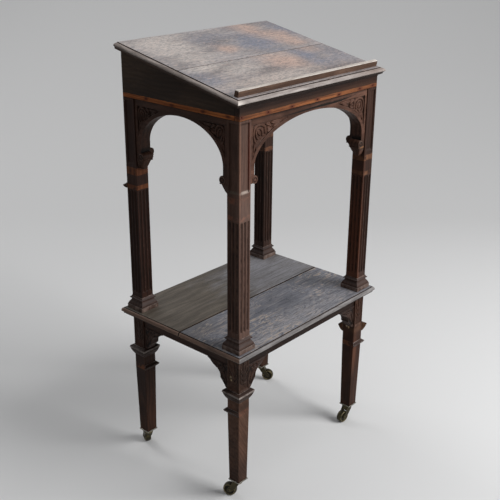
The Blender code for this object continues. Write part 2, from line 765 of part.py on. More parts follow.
def horn_mesh():
    """A forked horn: a round boss on the pintle and two cheeks that run down to the riveted axle pin."""
    rear = -BOSS_RADIUS / 2
    eye = (CASTER_TRAIL, WHEEL_RADIUS)
    outline = [(rear, HORN_BOTTOM + FORK_SET_IN)]
    outline += arc(eye, EYE_RADIUS, EYE_START, EYE_END, 2 * ROUND_STEPS)
    outline += [(BOSS_RADIUS, HORN_TOP - FORK_SET_IN), (rear, HORN_TOP - FORK_SET_IN)]
    fork = prism("caster_horn", outline, -FORK_HALF, FORK_HALF, lambda t, z, w: (t, w, z), "tarnished_brass")
    boss = rod("boss", BOSS_RADIUS, HORN_BOTTOM, HORN_TOP, upright)
    room = WHEEL_RADIUS + WHEEL_CLEARANCE
    slot = rod("slot", room, -SLOT_HALF, SLOT_HALF, at_axle)
    bore = rod("bore", PINTLE_RADIUS + SWIVEL_GAP, HORN_BOTTOM - BOSS_HEIGHT, HORN_TOP + BOSS_HEIGHT, upright)
    return carve(fork, [("UNION", boss), ("DIFFERENCE", slot), ("DIFFERENCE", bore), ("UNION", axle_mesh())])


def wheel_mesh():
    """A crowned wheel with dished sides round a hub, bored for its axle, which lies along Y.

    Its facets touch the stated radii, and one of them lies flat on the floor.
    """
    half = WHEEL_WIDTH / 2
    bore = AXLE_RADIUS + AXLE_CLEARANCE
    rim = WHEEL_RADIUS - WHEEL_CROWN
    face = half - WHEEL_DISH
    inner = rim - WHEEL_RIM
    side = [(bore, half), (HUB_RADIUS, half), (HUB_RADIUS, face), (inner, face), (inner, half), (rim, half),
            (WHEEL_RADIUS, WHEEL_TREAD / 2)]
    profile = side + [(radius, -depth) for radius, depth in reversed(side)]
    half_facet = math.pi / TURN_STEPS
    rings = []
    for step in range(TURN_STEPS):
        turn = (2 * step + 1) * half_facet - QUARTER
        across = math.cos(turn) / math.cos(half_facet)
        up = math.sin(turn) / math.cos(half_facet)
        rings.append([(radius * across, depth, radius * up) for radius, depth in profile])
    return loft("caster_wheel", rings, "tarnished_brass", capped=False, smooth=True)


def make_casters():
    """A caster under each leg: the plate is fixed, the horn swivels, the wheel turns in the horn."""
    plate = plate_mesh()
    horn = horn_mesh()
    wheel = wheel_mesh()
    for corner, (sx, sy, _) in CORNERS.items():
        foot = (sx * POST_X, sy * POST_Y, 0)
        piece("caster_plate_" + corner, plate, foot)
        swivel = piece("swivel_" + corner, None, foot, CASTER_TURNS[corner])
        piece("caster_horn_" + corner, horn, parent=swivel)
        hub = (CASTER_TRAIL, 0, WHEEL_RADIUS)
        piece("caster_wheel_" + corner, wheel, hub, parent=swivel)


make_slope()
make_case()
make_bed_moulding()
make_arches()
make_posts()
make_post_band()
make_shelf()
make_rails()
make_legs()
make_casters()
bpy.context.view_layer.update()
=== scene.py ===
"""The looks of an oak rostrum desk: carved, fluted and moulded oak with worn edges, on brass casters."""
import math

import bmesh
import bpy
import numpy as np
from mathutils import Matrix, Vector, noise
from mathutils.geometry import tessellate_polygon


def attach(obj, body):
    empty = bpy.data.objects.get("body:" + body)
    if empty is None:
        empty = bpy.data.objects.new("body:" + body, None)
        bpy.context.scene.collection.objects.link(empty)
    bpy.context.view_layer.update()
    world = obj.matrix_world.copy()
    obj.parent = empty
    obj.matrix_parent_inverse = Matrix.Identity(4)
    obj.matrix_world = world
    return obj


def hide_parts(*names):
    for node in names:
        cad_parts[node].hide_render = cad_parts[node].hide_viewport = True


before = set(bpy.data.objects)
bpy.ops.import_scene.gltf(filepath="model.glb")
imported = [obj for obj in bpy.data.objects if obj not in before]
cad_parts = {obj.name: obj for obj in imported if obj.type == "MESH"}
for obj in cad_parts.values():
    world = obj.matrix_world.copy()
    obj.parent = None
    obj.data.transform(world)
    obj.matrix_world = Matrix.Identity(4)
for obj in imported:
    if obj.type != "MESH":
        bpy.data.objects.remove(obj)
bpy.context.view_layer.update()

QUARTER = math.pi / 2
SEAT = 0.0003

# Plan and levels of the desk, in metres
POST_X = 0.268
POST_Y = 0.1885
POST_HALF = 0.021
LEG_Z = 0.0618
SHELF_Z = 0.4611
SHELF_TOP = 0.4801
POST_Z = 0.4804
POST_LENGTH = 0.6195
CASE_Z = 1.1002
CASE_X = POST_X + POST_HALF
CASE_Y = POST_Y + POST_HALF
CASE_FRONT_HEIGHT = 0.0372
CASE_BOARD = 0.016
CASE_FLOOR = 0.010
SLOPE = math.radians(11.85)
SLOPE_THICKNESS = 0.018
SHELF_THICKNESS = 0.019

# Corners: signs of X and Y, and the quarter turn that takes the front left corner there
CORNERS = {
    "front_left": (-1, -1, 0),
    "front_right": (1, -1, 1),
    "rear_right": (1, 1, 2),
    "rear_left": (-1, 1, 3),
}
# Sides: half the distance between the posts, the middle in X and Y, and the quarter turn from the front
SIDES = {
    "front": (POST_X, 0, -POST_Y, 0),
    "rear": (POST_X, 0, POST_Y, 2),
    "left": (POST_Y, -POST_X, 0, 3),
    "right": (POST_Y, POST_X, 0, 1),
}


# Finishes; shades are given as 0 to 255 on a screen

def tone(shade):
    """The linear values of a shade, as a shader takes them."""
    return (*[((part / 255 + 0.055) / 1.055) ** 2.4 for part in shade], 1.0)


def add(tree, kind, values=None, **settings):
    """A shader node with its settings, and each input set to a value or linked to a socket."""
    node = tree.nodes.new("ShaderNode" + kind)
    for key, value in settings.items():
        setattr(node, key, value)
    for key, value in (values or {}).items():
        if isinstance(value, bpy.types.NodeSocket):
            tree.links.new(value, node.inputs[key])
        else:
            node.inputs[key].default_value = value
    return node


def blend(tree, share, one, other):
    """A mix of two colours, each a socket or a shade."""
    ends = [end if isinstance(end, bpy.types.NodeSocket) else tone(end) for end in (one, other)]
    return add(tree, "Mix", {0: share, 6: ends[0], 7: ends[1]}, data_type="RGBA").outputs[2]


def ramp(tree, value, low, high, start=0.0, end=1.0):
    """A value eased from one level to another."""
    values = {"Value": value, "From Min": low, "From Max": high, "To Min": start, "To Max": end}
    return add(tree, "MapRange", values, interpolation_type="SMOOTHSTEP").outputs["Result"]


def sums(tree, operation, *terms):
    """A sum, product or the like of values."""
    return add(tree, "Math", dict(enumerate(terms)), operation=operation).outputs[0]


def times(tree, one, other):
    """A product of two values."""
    return sums(tree, "MULTIPLY", one, other)


def vectors(tree, operation, *terms):
    """A sum, product or the like of vectors."""
    node = add(tree, "VectorMath", dict(enumerate(terms)), operation=operation)
    return node.outputs["Value" if operation == "LENGTH" else "Vector"]


def cloud(tree, place, scale, detail=3.0, rough=0.55):
    """Soft noise between 0 and 1; a scale of three values stretches it."""
    if isinstance(scale, tuple):
        place = vectors(tree, "MULTIPLY", place, scale)
        scale = 1.0
    values = {"Vector": place, "Scale": scale, "Detail": detail, "Roughness": rough}
    return add(tree, "TexNoise", values).outputs["Fac"]


def upward(tree, vector):
    """The height of a place or the upward part of a direction."""
    return add(tree, "SeparateXYZ", {0: vector}).outputs["Z"]


def waver(tree, place, scale, detail=3.0, rough=0.55):
    """Soft noise to both sides of zero."""
    return sums(tree, "SUBTRACT", cloud(tree, place, scale, detail, rough), 0.5)


def new_group(name, places, amounts, outputs):
    """An empty shader node group with named sockets; returns it with its inner ends."""
    tree = bpy.data.node_groups.new(name, "ShaderNodeTree")
    for labels, kind in ((places, "Vector"), (amounts, "Float")):
        for label in labels:
            tree.interface.new_socket(label, in_out="INPUT", socket_type="NodeSocket" + kind)
    for label in outputs:
        tree.interface.new_socket(label, in_out="OUTPUT", socket_type="NodeSocketFloat")
    return tree, tree.nodes.new("NodeGroupInput").outputs, tree.nodes.new("NodeGroupOutput").inputs


def oak_grain_group():
    """Grain of oak along the first axis, from fine fibres to slow clouds."""
    labels = ("Fibre", "Figure", "Pores", "Clouds", "Mottle", "Streaks")
    tree, start, end = new_group("oak_grain", ["Place"], ["Rings", "Sway"], labels)
    place = start["Place"]
    fibre = cloud(tree, place, (7, 150, 150), 4.0, 0.65)
    drift = times(tree, waver(tree, place, (5, 11, 11), 2.0), start["Sway"])
    shifted = vectors(tree, "ADD", place, add(tree, "CombineXYZ", {"Y": drift, "Z": drift}).outputs[0])
    flat = vectors(tree, "MULTIPLY", shifted, (0.18, 1, 1))
    values = {"Vector": flat, "Scale": start["Rings"], "Distortion": 4.0, "Detail": 3.0, "Detail Scale": 1.5}
    wave = add(tree, "TexWave", values, wave_type="BANDS", bands_direction="Y").outputs["Fac"]
    pores = ramp(tree, cloud(tree, place, (60, 900, 900), 1.0), 0.60, 0.72)
    slow = cloud(tree, place, (5, 12, 12), 5.0, 0.6)
    mottle = cloud(tree, place, (75, 360, 360), 3.0, 0.70)
    streaks = cloud(tree, shifted, (8, 190, 190), 3.0, 0.60)
    for label, socket in zip(labels, (fibre, wave, pores, slow, mottle, streaks)):
        tree.links.new(socket, end[label])
    return tree


def edge_wear_group():
    """Rubbed edges and grimy hollows, broken up by noise."""
    tree, start, end = new_group("edge_wear", ["Place"], ["Wear", "Amount"], ["Rubbed", "Grime"])
    breaks = waver(tree, start["Place"], 55.0, 4.0, 0.65)
    edge = sums(tree, "ADD", times(tree, start["Wear"], start["Amount"]), times(tree, breaks, 1.3))
    hollow = sums(tree, "SUBTRACT", breaks, start["Wear"])
    tree.links.new(ramp(tree, edge, 0.30, 1.00), end["Rubbed"])
    tree.links.new(ramp(tree, hollow, 0.15, 0.85), end["Grime"])
    return tree


def bare_band_group():
    """Bare wood between two heights, with slightly ragged edges."""
    tree, start, end = new_group("bare_band", ["Place"], ["Low", "High"], ["Bare"])
    ragged = times(tree, waver(tree, start["Place"], 45.0), 0.004)
    height = sums(tree, "ADD", upward(tree, start["Place"]), ragged)
    above = ramp(tree, sums(tree, "SUBTRACT", height, start["Low"]), -0.0006, 0.0006)
    below = ramp(tree, sums(tree, "SUBTRACT", start["High"], height), -0.0006, 0.0006)
    tree.links.new(times(tree, above, below), end["Bare"])
    return tree


def wear_and_light_patch_group():
    """A soft-edged patch around a centre, with cloudy borders."""
    tree, start, end = new_group("wear_and_light_patch", ["Place", "Centre", "Reach"], ["Ragged"], ["Patch"])
    offset = vectors(tree, "SUBTRACT", start["Place"], start["Centre"])
    away = vectors(tree, "LENGTH", vectors(tree, "DIVIDE", offset, start["Reach"]))
    cloudy = times(tree, waver(tree, start["Place"], (8, 22, 14), 6.0, 0.68), start["Ragged"])
    away = sums(tree, "ADD", away, cloudy)
    tree.links.new(ramp(tree, away, 1.55, 0.05), end["Patch"])
    return tree


GROUPS = {
    "grain": oak_grain_group(),
    "wear": edge_wear_group(),
    "band": bare_band_group(),
    "patch": wear_and_light_patch_group(),
}


def shared(tree, name, **values):
    """One of the shared effects placed in a material; returns its outputs."""
    return add(tree, "Group", values, node_tree=GROUPS[name]).outputs


def new_finish(name):
    """A new material with its node tree and its shader."""
    material = bpy.data.materials.new(name)
    material.use_nodes = True
    tree = material.node_tree
    return material, tree, tree.nodes["Principled BSDF"]


def on_piece(tree):
    """Places on a piece."""
    return add(tree, "TexCoord").outputs["Object"]


def worn_edges(tree, place, amount):
    """Where a piece is rubbed and where it is grimy, from the wear kept in its mesh."""
    wear = add(tree, "Attribute", attribute_name="wear", attribute_type="GEOMETRY").outputs["Fac"]
    return shared(tree, "wear", Place=place, Wear=wear, Amount=amount)


def surface(tree, shader, colour, rough, height, strength, distance):
    """Give a shader its colour, its roughness and its small bumps."""
    bump = add(tree, "Bump", {"Height": height, "Strength": strength, "Distance": distance})
    tree.links.new(colour, shader.inputs["Base Color"])
    tree.links.new(rough, shader.inputs["Roughness"])
    tree.links.new(bump.outputs["Normal"], shader.inputs["Normal"])


def lay_marks_and_painted_light(tree, here, colour, marks_of_use_and_light, ragged):
    """A colour with marks over it, each a centre, a reach, a strength and a shade; they are stain and wear,
    and some are painted light and shade.
    """
    for centre, reach, strength, shade in marks_of_use_and_light:
        patch = shared(tree, "patch", Place=here, Centre=centre, Reach=reach, Ragged=ragged)["Patch"]
        colour = blend(tree, times(tree, patch, strength), colour, shade)
    return colour


GRIME = (20, 14, 11)
DUST = (112, 107, 107)
FLECK = (215, 212, 205)
PATCH_RAGGED = 2.6
CHIP_RAGGED = 0.6


def oak(name, order, deep, face, rubbed, rings=26.0, sway=0.05, wear=0.6, bands=(), bare=None, patchy=None,
        patches_and_painted_sheen=(), chips_and_painted_light=(), seed=0.0, gloss=(0.42, 0.62), lean=0.0, flecks=0.0, fibre=0.55, streak=None,
        bands_share=0.45, mottle=0.25, polish=0.12, tint=None, dust=0.0):
    """Aged oak. The order of the axes says which way the grain runs; bare bands, and broad and small marks of
    stain, wear and painted light and shade, lie over it.
    """
    material, tree, shader = new_finish(name)
    here = on_piece(tree)
    leaning = here
    if lean:
        leaning = add(tree, "Mapping", {"Vector": here, "Rotation": (0, lean, 0)}).outputs[0]
    parts = add(tree, "SeparateXYZ", {0: leaning}).outputs
    swapped = add(tree, "CombineXYZ", dict(zip("XYZ", [parts[axis] for axis in order]))).outputs[0]
    along = vectors(tree, "ADD", swapped, (seed, seed * 0.37, seed * 0.61))
    grain = shared(tree, "grain", Place=along, Rings=rings, Sway=sway)
    edges = worn_edges(tree, along, wear)
    clouds = ramp(tree, grain["Clouds"], *((0.10, 0.75) if streak else (0.30, 0.70)))
    figure = times(tree, grain["Figure"], bands_share)
    figure = sums(tree, "ADD", figure, times(tree, clouds, 1 - bands_share))
    colour = blend(tree, figure, deep, face)
    colour = lay_marks_and_painted_light(tree, here, colour, patches_and_painted_sheen, PATCH_RAGGED)
    colour = blend(tree, ramp(tree, grain["Mottle"], 0.46, 0.64, 0.0, mottle), colour, deep)
    if tint:
        colour = blend(tree, ramp(tree, grain["Mottle"], 0.47, 0.33, 0.0, 0.7), colour, tint)
    if streak:
        colour = blend(tree, ramp(tree, grain["Streaks"], 0.50, 0.34, 0.0, 0.8), colour, deep)
        line = times(tree, ramp(tree, grain["Streaks"], 0.50, 0.66), ramp(tree, grain["Clouds"], 0.36, 0.60))
        colour = blend(tree, times(tree, line, 0.9), colour, streak)
    colour = blend(tree, ramp(tree, grain["Fibre"], 0.38, 0.78, 0.0, fibre), colour, deep)
    for low, high in bands:
        band = shared(tree, "band", Place=here, Low=low, High=high)["Bare"]
        wood = blend(tree, ramp(tree, grain["Fibre"], 0.3, 0.7), *bare)
        worn = ramp(tree, cloud(tree, here, 60.0, 4.0, 0.6), *patchy)
        colour = blend(tree, times(tree, band, worn), colour, wood)
    colour = lay_marks_and_painted_light(tree, here, colour, chips_and_painted_light, CHIP_RAGGED)
    colour = blend(tree, times(tree, grain["Pores"], 0.45), colour, GRIME)
    colour = blend(tree, edges["Rubbed"], colour, rubbed)
    if dust:
        facing = upward(tree, add(tree, "NewGeometry").outputs["Normal"])
        colour = blend(tree, ramp(tree, facing, 0.30, 0.85, 0.0, dust), colour, DUST)
    colour = blend(tree, edges["Grime"], colour, GRIME)
    if flecks:
        values = {"Vector": here, "Scale": flecks, "Randomness": 1.0}
        spots = ramp(tree, add(tree, "TexVoronoi", values).outputs["Distance"], 0.10, 0.06)
        rare = ramp(tree, cloud(tree, here, flecks * 0.4, 1.0), 0.66, 0.70)
        colour = blend(tree, times(tree, spots, rare), colour, FLECK)
    shader.inputs["Specular IOR Level"].default_value = polish
    rough = ramp(tree, grain["Fibre"], 0.25, 0.80, *gloss)
    rough = sums(tree, "ADD", rough, times(tree, edges["Rubbed"], 0.10))
    height = sums(tree, "SUBTRACT", times(tree, grain["Fibre"], 0.7), grain["Pores"])
    surface(tree, shader, colour, rough, height, 0.30, 0.0006)
    return material


def brass(name, rubbed, wear):
    """Tarnished brass: olive brown, brighter where it rubs; on the plate its near-white edges are also a
    painted glint.
    """
    material, tree, shader = new_finish(name)
    here = on_piece(tree)
    edges = worn_edges(tree, vectors(tree, "MULTIPLY", here, (3, 3, 3)), wear)
    spots = cloud(tree, here, 140.0, 5.0, 0.7)
    colour = blend(tree, ramp(tree, spots, 0.35, 0.70), (40, 36, 25), (80, 73, 50))
    colour = blend(tree, edges["Rubbed"], colour, rubbed)
    colour = blend(tree, edges["Grime"], colour, (26, 23, 17))
    tree.links.new(ramp(tree, spots, 0.30, 0.70, 0.55, 0.95), shader.inputs["Metallic"])
    surface(tree, shader, colour, ramp(tree, spots, 0.30, 0.75, 0.58, 0.32), spots, 0.25, 0.0005)
    return material


DEEP = (46, 29, 22)
FACE = (98, 72, 61)
RUBBED = (138, 114, 102)
POST_RUBBED = (116, 88, 75)
# Dim tones: darker copies of the oak for the posts that stood out of the light, which is painted shade; the
# side rails and two marks on the front left leg take them too
DIM_DEEP = (34, 21, 15)
DIM_FACE = (70, 47, 38)
RAIL_DEEP = (21, 10, 7)
RAIL_FACE = (45, 28, 20)
NAIL_STAIN = (78, 38, 28)
TAN = (193, 164, 150)
PALE = (202, 193, 187)
# Blue-grey of some areas on the top boards: painted sheen
PAINTED_SHEEN_BLUE = (116, 123, 140)
FADED = ((132, 88, 70), (98, 62, 48))
POST_BANDS = ((0.847, 0.859), (0.890, 0.907))
REAR_BANDS = ((0.846, 0.859), (0.888, 0.909))
BAND_SCAR = ((0.282, 0.2975),)
STRIP = ((CASE_Z + 0.0004, CASE_Z + 0.0118),)
STRIP_MIDDLE = CASE_Z + 0.0062
FRONT_NAILS = ((-0.282, 0.003), (-0.185, 0.0005), (-0.092, -0.001), (0.013, 0.001), (0.108, -0.0008),
               (0.205, 0.0006), (0.268, 0.001))
SIDE_NAILS = ((-0.172, 0.0008), (-0.088, 0.0), (0.022, -0.0008), (0.118, 0.001))
FRONT_STAINS = [((x, -CASE_Y, STRIP_MIDDLE + rise), (0.012, 0.02, 0.0055), 0.95, NAIL_STAIN)
                for x, rise in FRONT_NAILS]
SIDE_STAINS = [((side * CASE_X, y, STRIP_MIDDLE + rise), (0.02, 0.009, 0.0045), 0.95, NAIL_STAIN)
               for y, rise in SIDE_NAILS for side in (-1, 1)]
TOP_BOARD = dict(wear=0.5, gloss=(0.34, 0.52), flecks=60.0, fibre=0.4, bands_share=0.15, mottle=0.8,
                 polish=0.5, tint=(198, 172, 158))



def post_oak(corner, deep, face, bands, bare, patchy, seed, chips_and_painted_light=()):
    """Oak of a post, with bare wood where its bands have come off."""
    return oak("oak_post_" + corner, "ZXY", deep, face, POST_RUBBED, wear=0.35, bands=bands, bare=bare,
               patchy=patchy, seed=seed, chips_and_painted_light=chips_and_painted_light)


FINISHES = {
    "post_front_left": post_oak(
        "front_left", DEEP, FACE, POST_BANDS, FADED, (0.42, 0.62), 0.0, (
            # The whole front face of this post made lighter: painted light
            ((-POST_X, -CASE_Y, 0.75), (0.05, 0.016, 0.6), 0.35, (122, 98, 89)),
            ((-CASE_X, -CASE_Y, 0.99), (0.0045, 0.0045, 0.17), 0.7, (150, 112, 94)),
            # Dark lines along the sunk panel's right edge and under its head: painted shade
            ((-POST_X + 0.0143, -CASE_Y, 1.005), (0.0028, 0.02, 0.10), 0.8, (104, 54, 42)),
            ((-POST_X, -CASE_Y, 1.0925), (0.019, 0.012, 0.0035), 0.85, (44, 26, 20)),
            # Pale lines along the panel's sill on both faces: wear on the splay, and a painted highlight
            # where it faces the light
            ((-CASE_X, -POST_Y, 0.9205), (0.012, 0.019, 0.0040), 0.6, (98, 90, 78)),
            ((-POST_X, -CASE_Y, 0.9205), (0.019, 0.012, 0.0040), 0.9, (172, 157, 146)),
            ((-POST_X, -CASE_Y, 0.876), (0.05, 0.012, 0.05), 0.15, (136, 113, 103)))),
    # The front right and rear right posts take the dim tones of oak out of the light: painted shade
    "post_front_right": post_oak(
        "front_right", DIM_DEEP, DIM_FACE, POST_BANDS, ((124, 86, 62), (92, 60, 42)), (0.34, 0.58), 1.9, (
            # A lighter, redder patch on the post's left face: painted light thrown back onto it
            ((POST_X - POST_HALF, -POST_Y, 0.64), (0.012, 0.05, 0.24), 0.75, (104, 62, 44)),)),
    "post_rear_right": post_oak(
        "rear_right", DIM_DEEP, DIM_FACE, POST_BANDS, ((116, 78, 57), (82, 53, 39)), (0.34, 0.56), 2.8),
    # The rear left post, darker still: painted shadow of the desk over it
    "post_rear_left": post_oak(
        "rear_left", (31, 18, 13), (61, 38, 30), REAR_BANDS, ((118, 70, 44), (82, 46, 28)), (0.28, 0.50),
        3.6),
    "leg": oak(
        "oak_leg", "ZXY", (36, 19, 11), (77, 48, 34), POST_RUBBED, seed=3.1, bands=BAND_SCAR,
        bare=((126, 78, 50), (88, 52, 34)), patchy=(0.38, 0.60), chips_and_painted_light=(
            ((POST_X, -CASE_Y, 0.340), (0.05, 0.012, 0.010), 0.5, (106, 74, 56)),
            ((POST_X - POST_HALF, -POST_Y, 0.340), (0.010, 0.05, 0.013), 0.5, (84, 58, 42)),
            ((POST_X - POST_HALF, -0.1815, 0.3495), (0.01, 0.0035, 0.0045), 1.0, (250, 228, 196)),
            ((POST_X - POST_HALF, -0.1890, 0.3465), (0.01, 0.0030, 0.0045), 1.0, (240, 206, 160)),
            ((0.256, -CASE_Y, 0.255), (0.012, 0.012, 0.06), 0.4, (128, 82, 60)))),
    "leaning_leg": oak(
        "oak_leaning_leg", "ZXY", DEEP, (110, 79, 63), RUBBED, seed=5.7, rings=44.0, lean=math.radians(32),
        bands_share=0.2, bands=BAND_SCAR, bare=FADED, patchy=(0.40, 0.62), chips_and_painted_light=(
            ((-POST_X, -CASE_Y, 0.405), (0.05, 0.016, 0.07), 0.9, DIM_DEEP),
            ((-POST_X, -CASE_Y, 0.306), (0.05, 0.012, 0.018), 0.6, DIM_DEEP),
            ((-CASE_X, -0.1790, 0.3964), (0.008, 0.0034, 0.0035), 0.9, (226, 208, 170)),
            ((-CASE_X, -0.1819, 0.3883), (0.008, 0.0034, 0.0030), 0.9, (218, 196, 156)))),
    "apron": oak(
        "oak_apron", "XYZ", (58, 37, 28), (116, 83, 69), RUBBED, seed=1.3, chips_and_painted_light=(
            ((0.236, -0.205, 0.938), (0.022, 0.02, 0.020), 0.85, (50, 38, 32)),
            ((0.236, -0.21, 0.933), (0.012, 0.02, 0.003), 0.9, (150, 104, 66)),
            # A dark band along the top of the front apron, close under the case: painted shadow
            ((0, -0.2, CASE_Z), (0.5, 0.1, 0.0060), 0.8, (24, 14, 10)))),
    "apron_side": oak("oak_apron_side", "YXZ", (43, 28, 21), (86, 59, 48), RUBBED, seed=2.2),
    "rail": oak("oak_rail", "XYZ", RAIL_DEEP, RAIL_FACE, RUBBED, seed=7.4),
    "cove": oak("oak_cove", "XYZ", RAIL_DEEP, RAIL_FACE, RUBBED, seed=7.4, wear=0.1),
    "rail_side": oak("oak_rail_side", "YXZ", DIM_DEEP, DIM_FACE, RUBBED, seed=7.9),
    "case_front": oak(
        "oak_case_front", "XZY", (24, 12, 8), (49, 30, 22), RUBBED, bands=STRIP, seed=4.0, bands_share=0.25,
        bare=((148, 92, 56), (84, 48, 30)), patchy=(0.15, 0.42), chips_and_painted_light=FRONT_STAINS + [
            # A lighter band low on the case front; above it the board's dark tones stand for the shadow of
            # the overhanging top: painted shade
            ((0, -CASE_Y, CASE_Z + 0.0155), (0.6, 0.02, 0.006), 0.4, (84, 58, 44))]),
    "case_side": oak(
        "oak_case_side", "YZX", (38, 27, 20), (76, 59, 46), RUBBED, bands=STRIP, seed=6.5, bands_share=0.2,
        bare=((206, 124, 68), (126, 70, 38)), patchy=(0.15, 0.42), chips_and_painted_light=SIDE_STAINS),
    "moulding": oak(
        "oak_moulding", "XYZ", DEEP, (74, 54, 46), (136, 118, 109), seed=8.8, wear=0.60,
        fibre=0.3, dust=0.25),
    "collar": oak(
        "oak_collar", "XYZ", (40, 25, 19), (64, 47, 39), (166, 155, 149), seed=8.3, wear=0.72,
        fibre=0.3, dust=0.06),
    "mitre": oak("oak_mitre", "XYZ", (66, 45, 33), (112, 80, 59), RUBBED, seed=8.5, wear=0.1),
    # The top boards: tan and pale worn areas over a pale grey ground that partly stands for sheen, with
    # blue-grey areas of painted sheen
    "slope_lower": oak(
        "worn_oak_lower", "XYZ", (106, 100, 100), (177, 170, 169), PALE, rings=17.0, seed=0.4,
        **TOP_BOARD, patches_and_painted_sheen=(
            ((0.26, -0.09, 1.19), (0.06, 0.12, 0.3), 0.5, PAINTED_SHEEN_BLUE),
            ((-0.27, -0.09, 1.19), (0.05, 0.10, 0.3), 0.7, PAINTED_SHEEN_BLUE),
            ((0.06, -0.060, 1.19), (0.08, 0.06, 0.3), 1.0, TAN),
            ((0.155, -0.055, 1.19), (0.045, 0.11, 0.3), 0.95, PAINTED_SHEEN_BLUE),
            ((0.21, -0.02, 1.19), (0.05, 0.03, 0.3), 0.6, TAN),
            ((-0.21, -0.025, 1.19), (0.06, 0.035, 0.3), 1.0, PALE),
            ((-0.13, -0.06, 1.19), (0.08, 0.04, 0.3), 0.7, PALE),
            ((-0.09, -0.145, 1.18), (0.20, 0.03, 0.3), 0.9, (190, 178, 170)),
            ((0.19, -0.165, 1.17), (0.12, 0.03, 0.3), 0.7, (108, 98, 97)))),
    "slope_upper": oak(
        "worn_oak_upper", "XYZ", (106, 101, 102), (176, 170, 170), PALE, rings=15.0, seed=9.2,
        **TOP_BOARD, patches_and_painted_sheen=(
            ((0.28, 0.14, 1.24), (0.05, 0.10, 0.3), 0.8, PAINTED_SHEEN_BLUE),
            ((-0.06, 0.15, 1.24), (0.08, 0.05, 0.3), 0.5, PAINTED_SHEEN_BLUE),
            ((-0.20, 0.13, 1.24), (0.10, 0.12, 0.3), 1.0, PALE),
            ((-0.17, 0.05, 1.22), (0.07, 0.05, 0.3), 0.7, PALE),
            ((-0.14, 0.185, 1.25), (0.08, 0.03, 0.3), 0.7, PALE),
            ((-0.04, 0.06, 1.22), (0.04, 0.03, 0.3), 0.9, TAN),
            ((0.16, 0.15, 1.24), (0.06, 0.07, 0.3), 1.0, TAN),
            ((0.22, 0.07, 1.22), (0.06, 0.06, 0.3), 1.0, TAN),
            ((0.09, 0.07, 1.22), (0.065, 0.10, 0.3), 0.95, PAINTED_SHEEN_BLUE))),
    # The moulded edges of the top: pale where worn, and paler still on their rounded tops as a painted sheen
    "slope_front": oak(
        "worn_oak_front_edge", "XYZ", (112, 101, 96), (183, 174, 169), PALE, seed=10.3, polish=0.5, chips_and_painted_light=(
            ((-0.31, -0.228, 1.148), (0.022, 0.04, 0.04), 0.9, (216, 206, 198)),
            ((0.27, -0.228, 1.148), (0.10, 0.04, 0.04), 0.5, (122, 104, 94)))),
    "slope_side": oak(
        "worn_oak_side_edge", "YXZ", (92, 79, 72), (164, 152, 145), (190, 180, 172), seed=10.9, polish=0.5),
    # Very dark undersides of the moulded edges: painted shade under the nose
    "undercut": oak("oak_painted_shade_undercut", "XYZ", (19, 10, 7), (40, 25, 19), RUBBED, seed=12.7, wear=0.1),
    "undercut_side": oak("oak_painted_shade_undercut_side", "YXZ", (42, 28, 21), (82, 60, 48), RUBBED, seed=13.2, wear=0.1),
    # Dark faces in the gap between two boards and in the quirk of each moulded edge: painted shade
    "joint": oak("oak_joint_painted_shade", "XYZ", (34, 24, 19), (66, 50, 41), RUBBED, seed=12.1, wear=0.2),
    "stop": oak("worn_oak_stop", "XYZ", (62, 45, 36), (108, 84, 70), (176, 164, 154), seed=7.7, wear=0.45),
    "stop_top": oak(
        "worn_oak_stop_top", "XYZ", (160, 150, 142), (212, 205, 198), (226, 220, 212), seed=7.9, wear=0.8,
        fibre=0.4),
    # The shelf boards' blue-grey tones stand partly for sheen: painted sheen over the oak
    "shelf_front": oak(
        "shelf_oak_front", "XYZ", (72, 72, 78), (136, 138, 147), (176, 168, 160), rings=42.0, sway=0.16,
        seed=11.4, gloss=(0.42, 0.60), flecks=50.0, streak=(184, 166, 148), wear=0.5, bands_share=0.1,
        polish=0.4, mottle=0.5, patches_and_painted_sheen=(
            ((-0.02, -0.19, 0.48), (0.28, 0.05, 0.3), 0.7, (162, 160, 164)),
            ((-0.25, -0.03, 0.48), (0.06, 0.04, 0.3), 0.6, (92, 86, 80)))),
    "shelf_rear": oak(
        "shelf_oak_rear", "XYZ", (58, 51, 44), (102, 94, 84), (150, 140, 128), rings=12.0, sway=0.08,
        seed=13.9, gloss=(0.42, 0.60), flecks=50.0, wear=0.5, polish=0.4, patches_and_painted_sheen=(
            # A lighter blue-grey right half of the rear board: painted light and sheen
            ((0.20, 0.08, 0.48), (0.20, 0.18, 0.3), 1.0, (142, 141, 146)),)),
    # The pale grey of the shelf's moulded nose: wear, with a painted highlight along it
    "nose": oak(
        "shelf_oak_nose", "XYZ", (88, 84, 83), (147, 143, 142), (184, 176, 169), seed=14.6, polish=0.3),
    "nose_side": oak(
        "shelf_oak_nose_side", "YXZ", (78, 58, 46), (152, 122, 105), (180, 158, 144), seed=15.2, wear=0.7,
        polish=0.3),
    "brass": brass("tarnished_brass", (158, 144, 108), 0.7),
    # The plate's rubbed edges in near white: wear, and a painted glint of light along its edge
    "plate": brass("brass_plate_painted_glint", (214, 210, 200), 1.4),
}

# Making meshes

SHARP_EDGE = math.radians(21)
ROUNDED_EDGE = math.radians(35)
WEAR_START = math.radians(26)
WEAR_FULL = math.radians(44)
LARGE_FACE = 0.0001
FACE_BORDER = 0.0014
CALM_REACH = 0.005


def show(name, data):
    """A new object in the scene."""
    shown = bpy.data.objects.new(name, data)
    bpy.context.scene.collection.objects.link(shown)
    return shown


def mesh_of(name, made):
    """The mesh of a shape that was in the making."""
    mesh = bpy.data.meshes.new(name)
    made.to_mesh(mesh)
    made.free()
    return mesh


def shape(points, faces):
    """A mesh in the making, from points and faces, facing out."""
    made = bmesh.new()
    corners = [made.verts.new(point) for point in points]
    for face in faces:
        made.faces.new([corners[index] for index in face])
    bmesh.ops.recalc_face_normals(made, faces=made.faces)
    return made


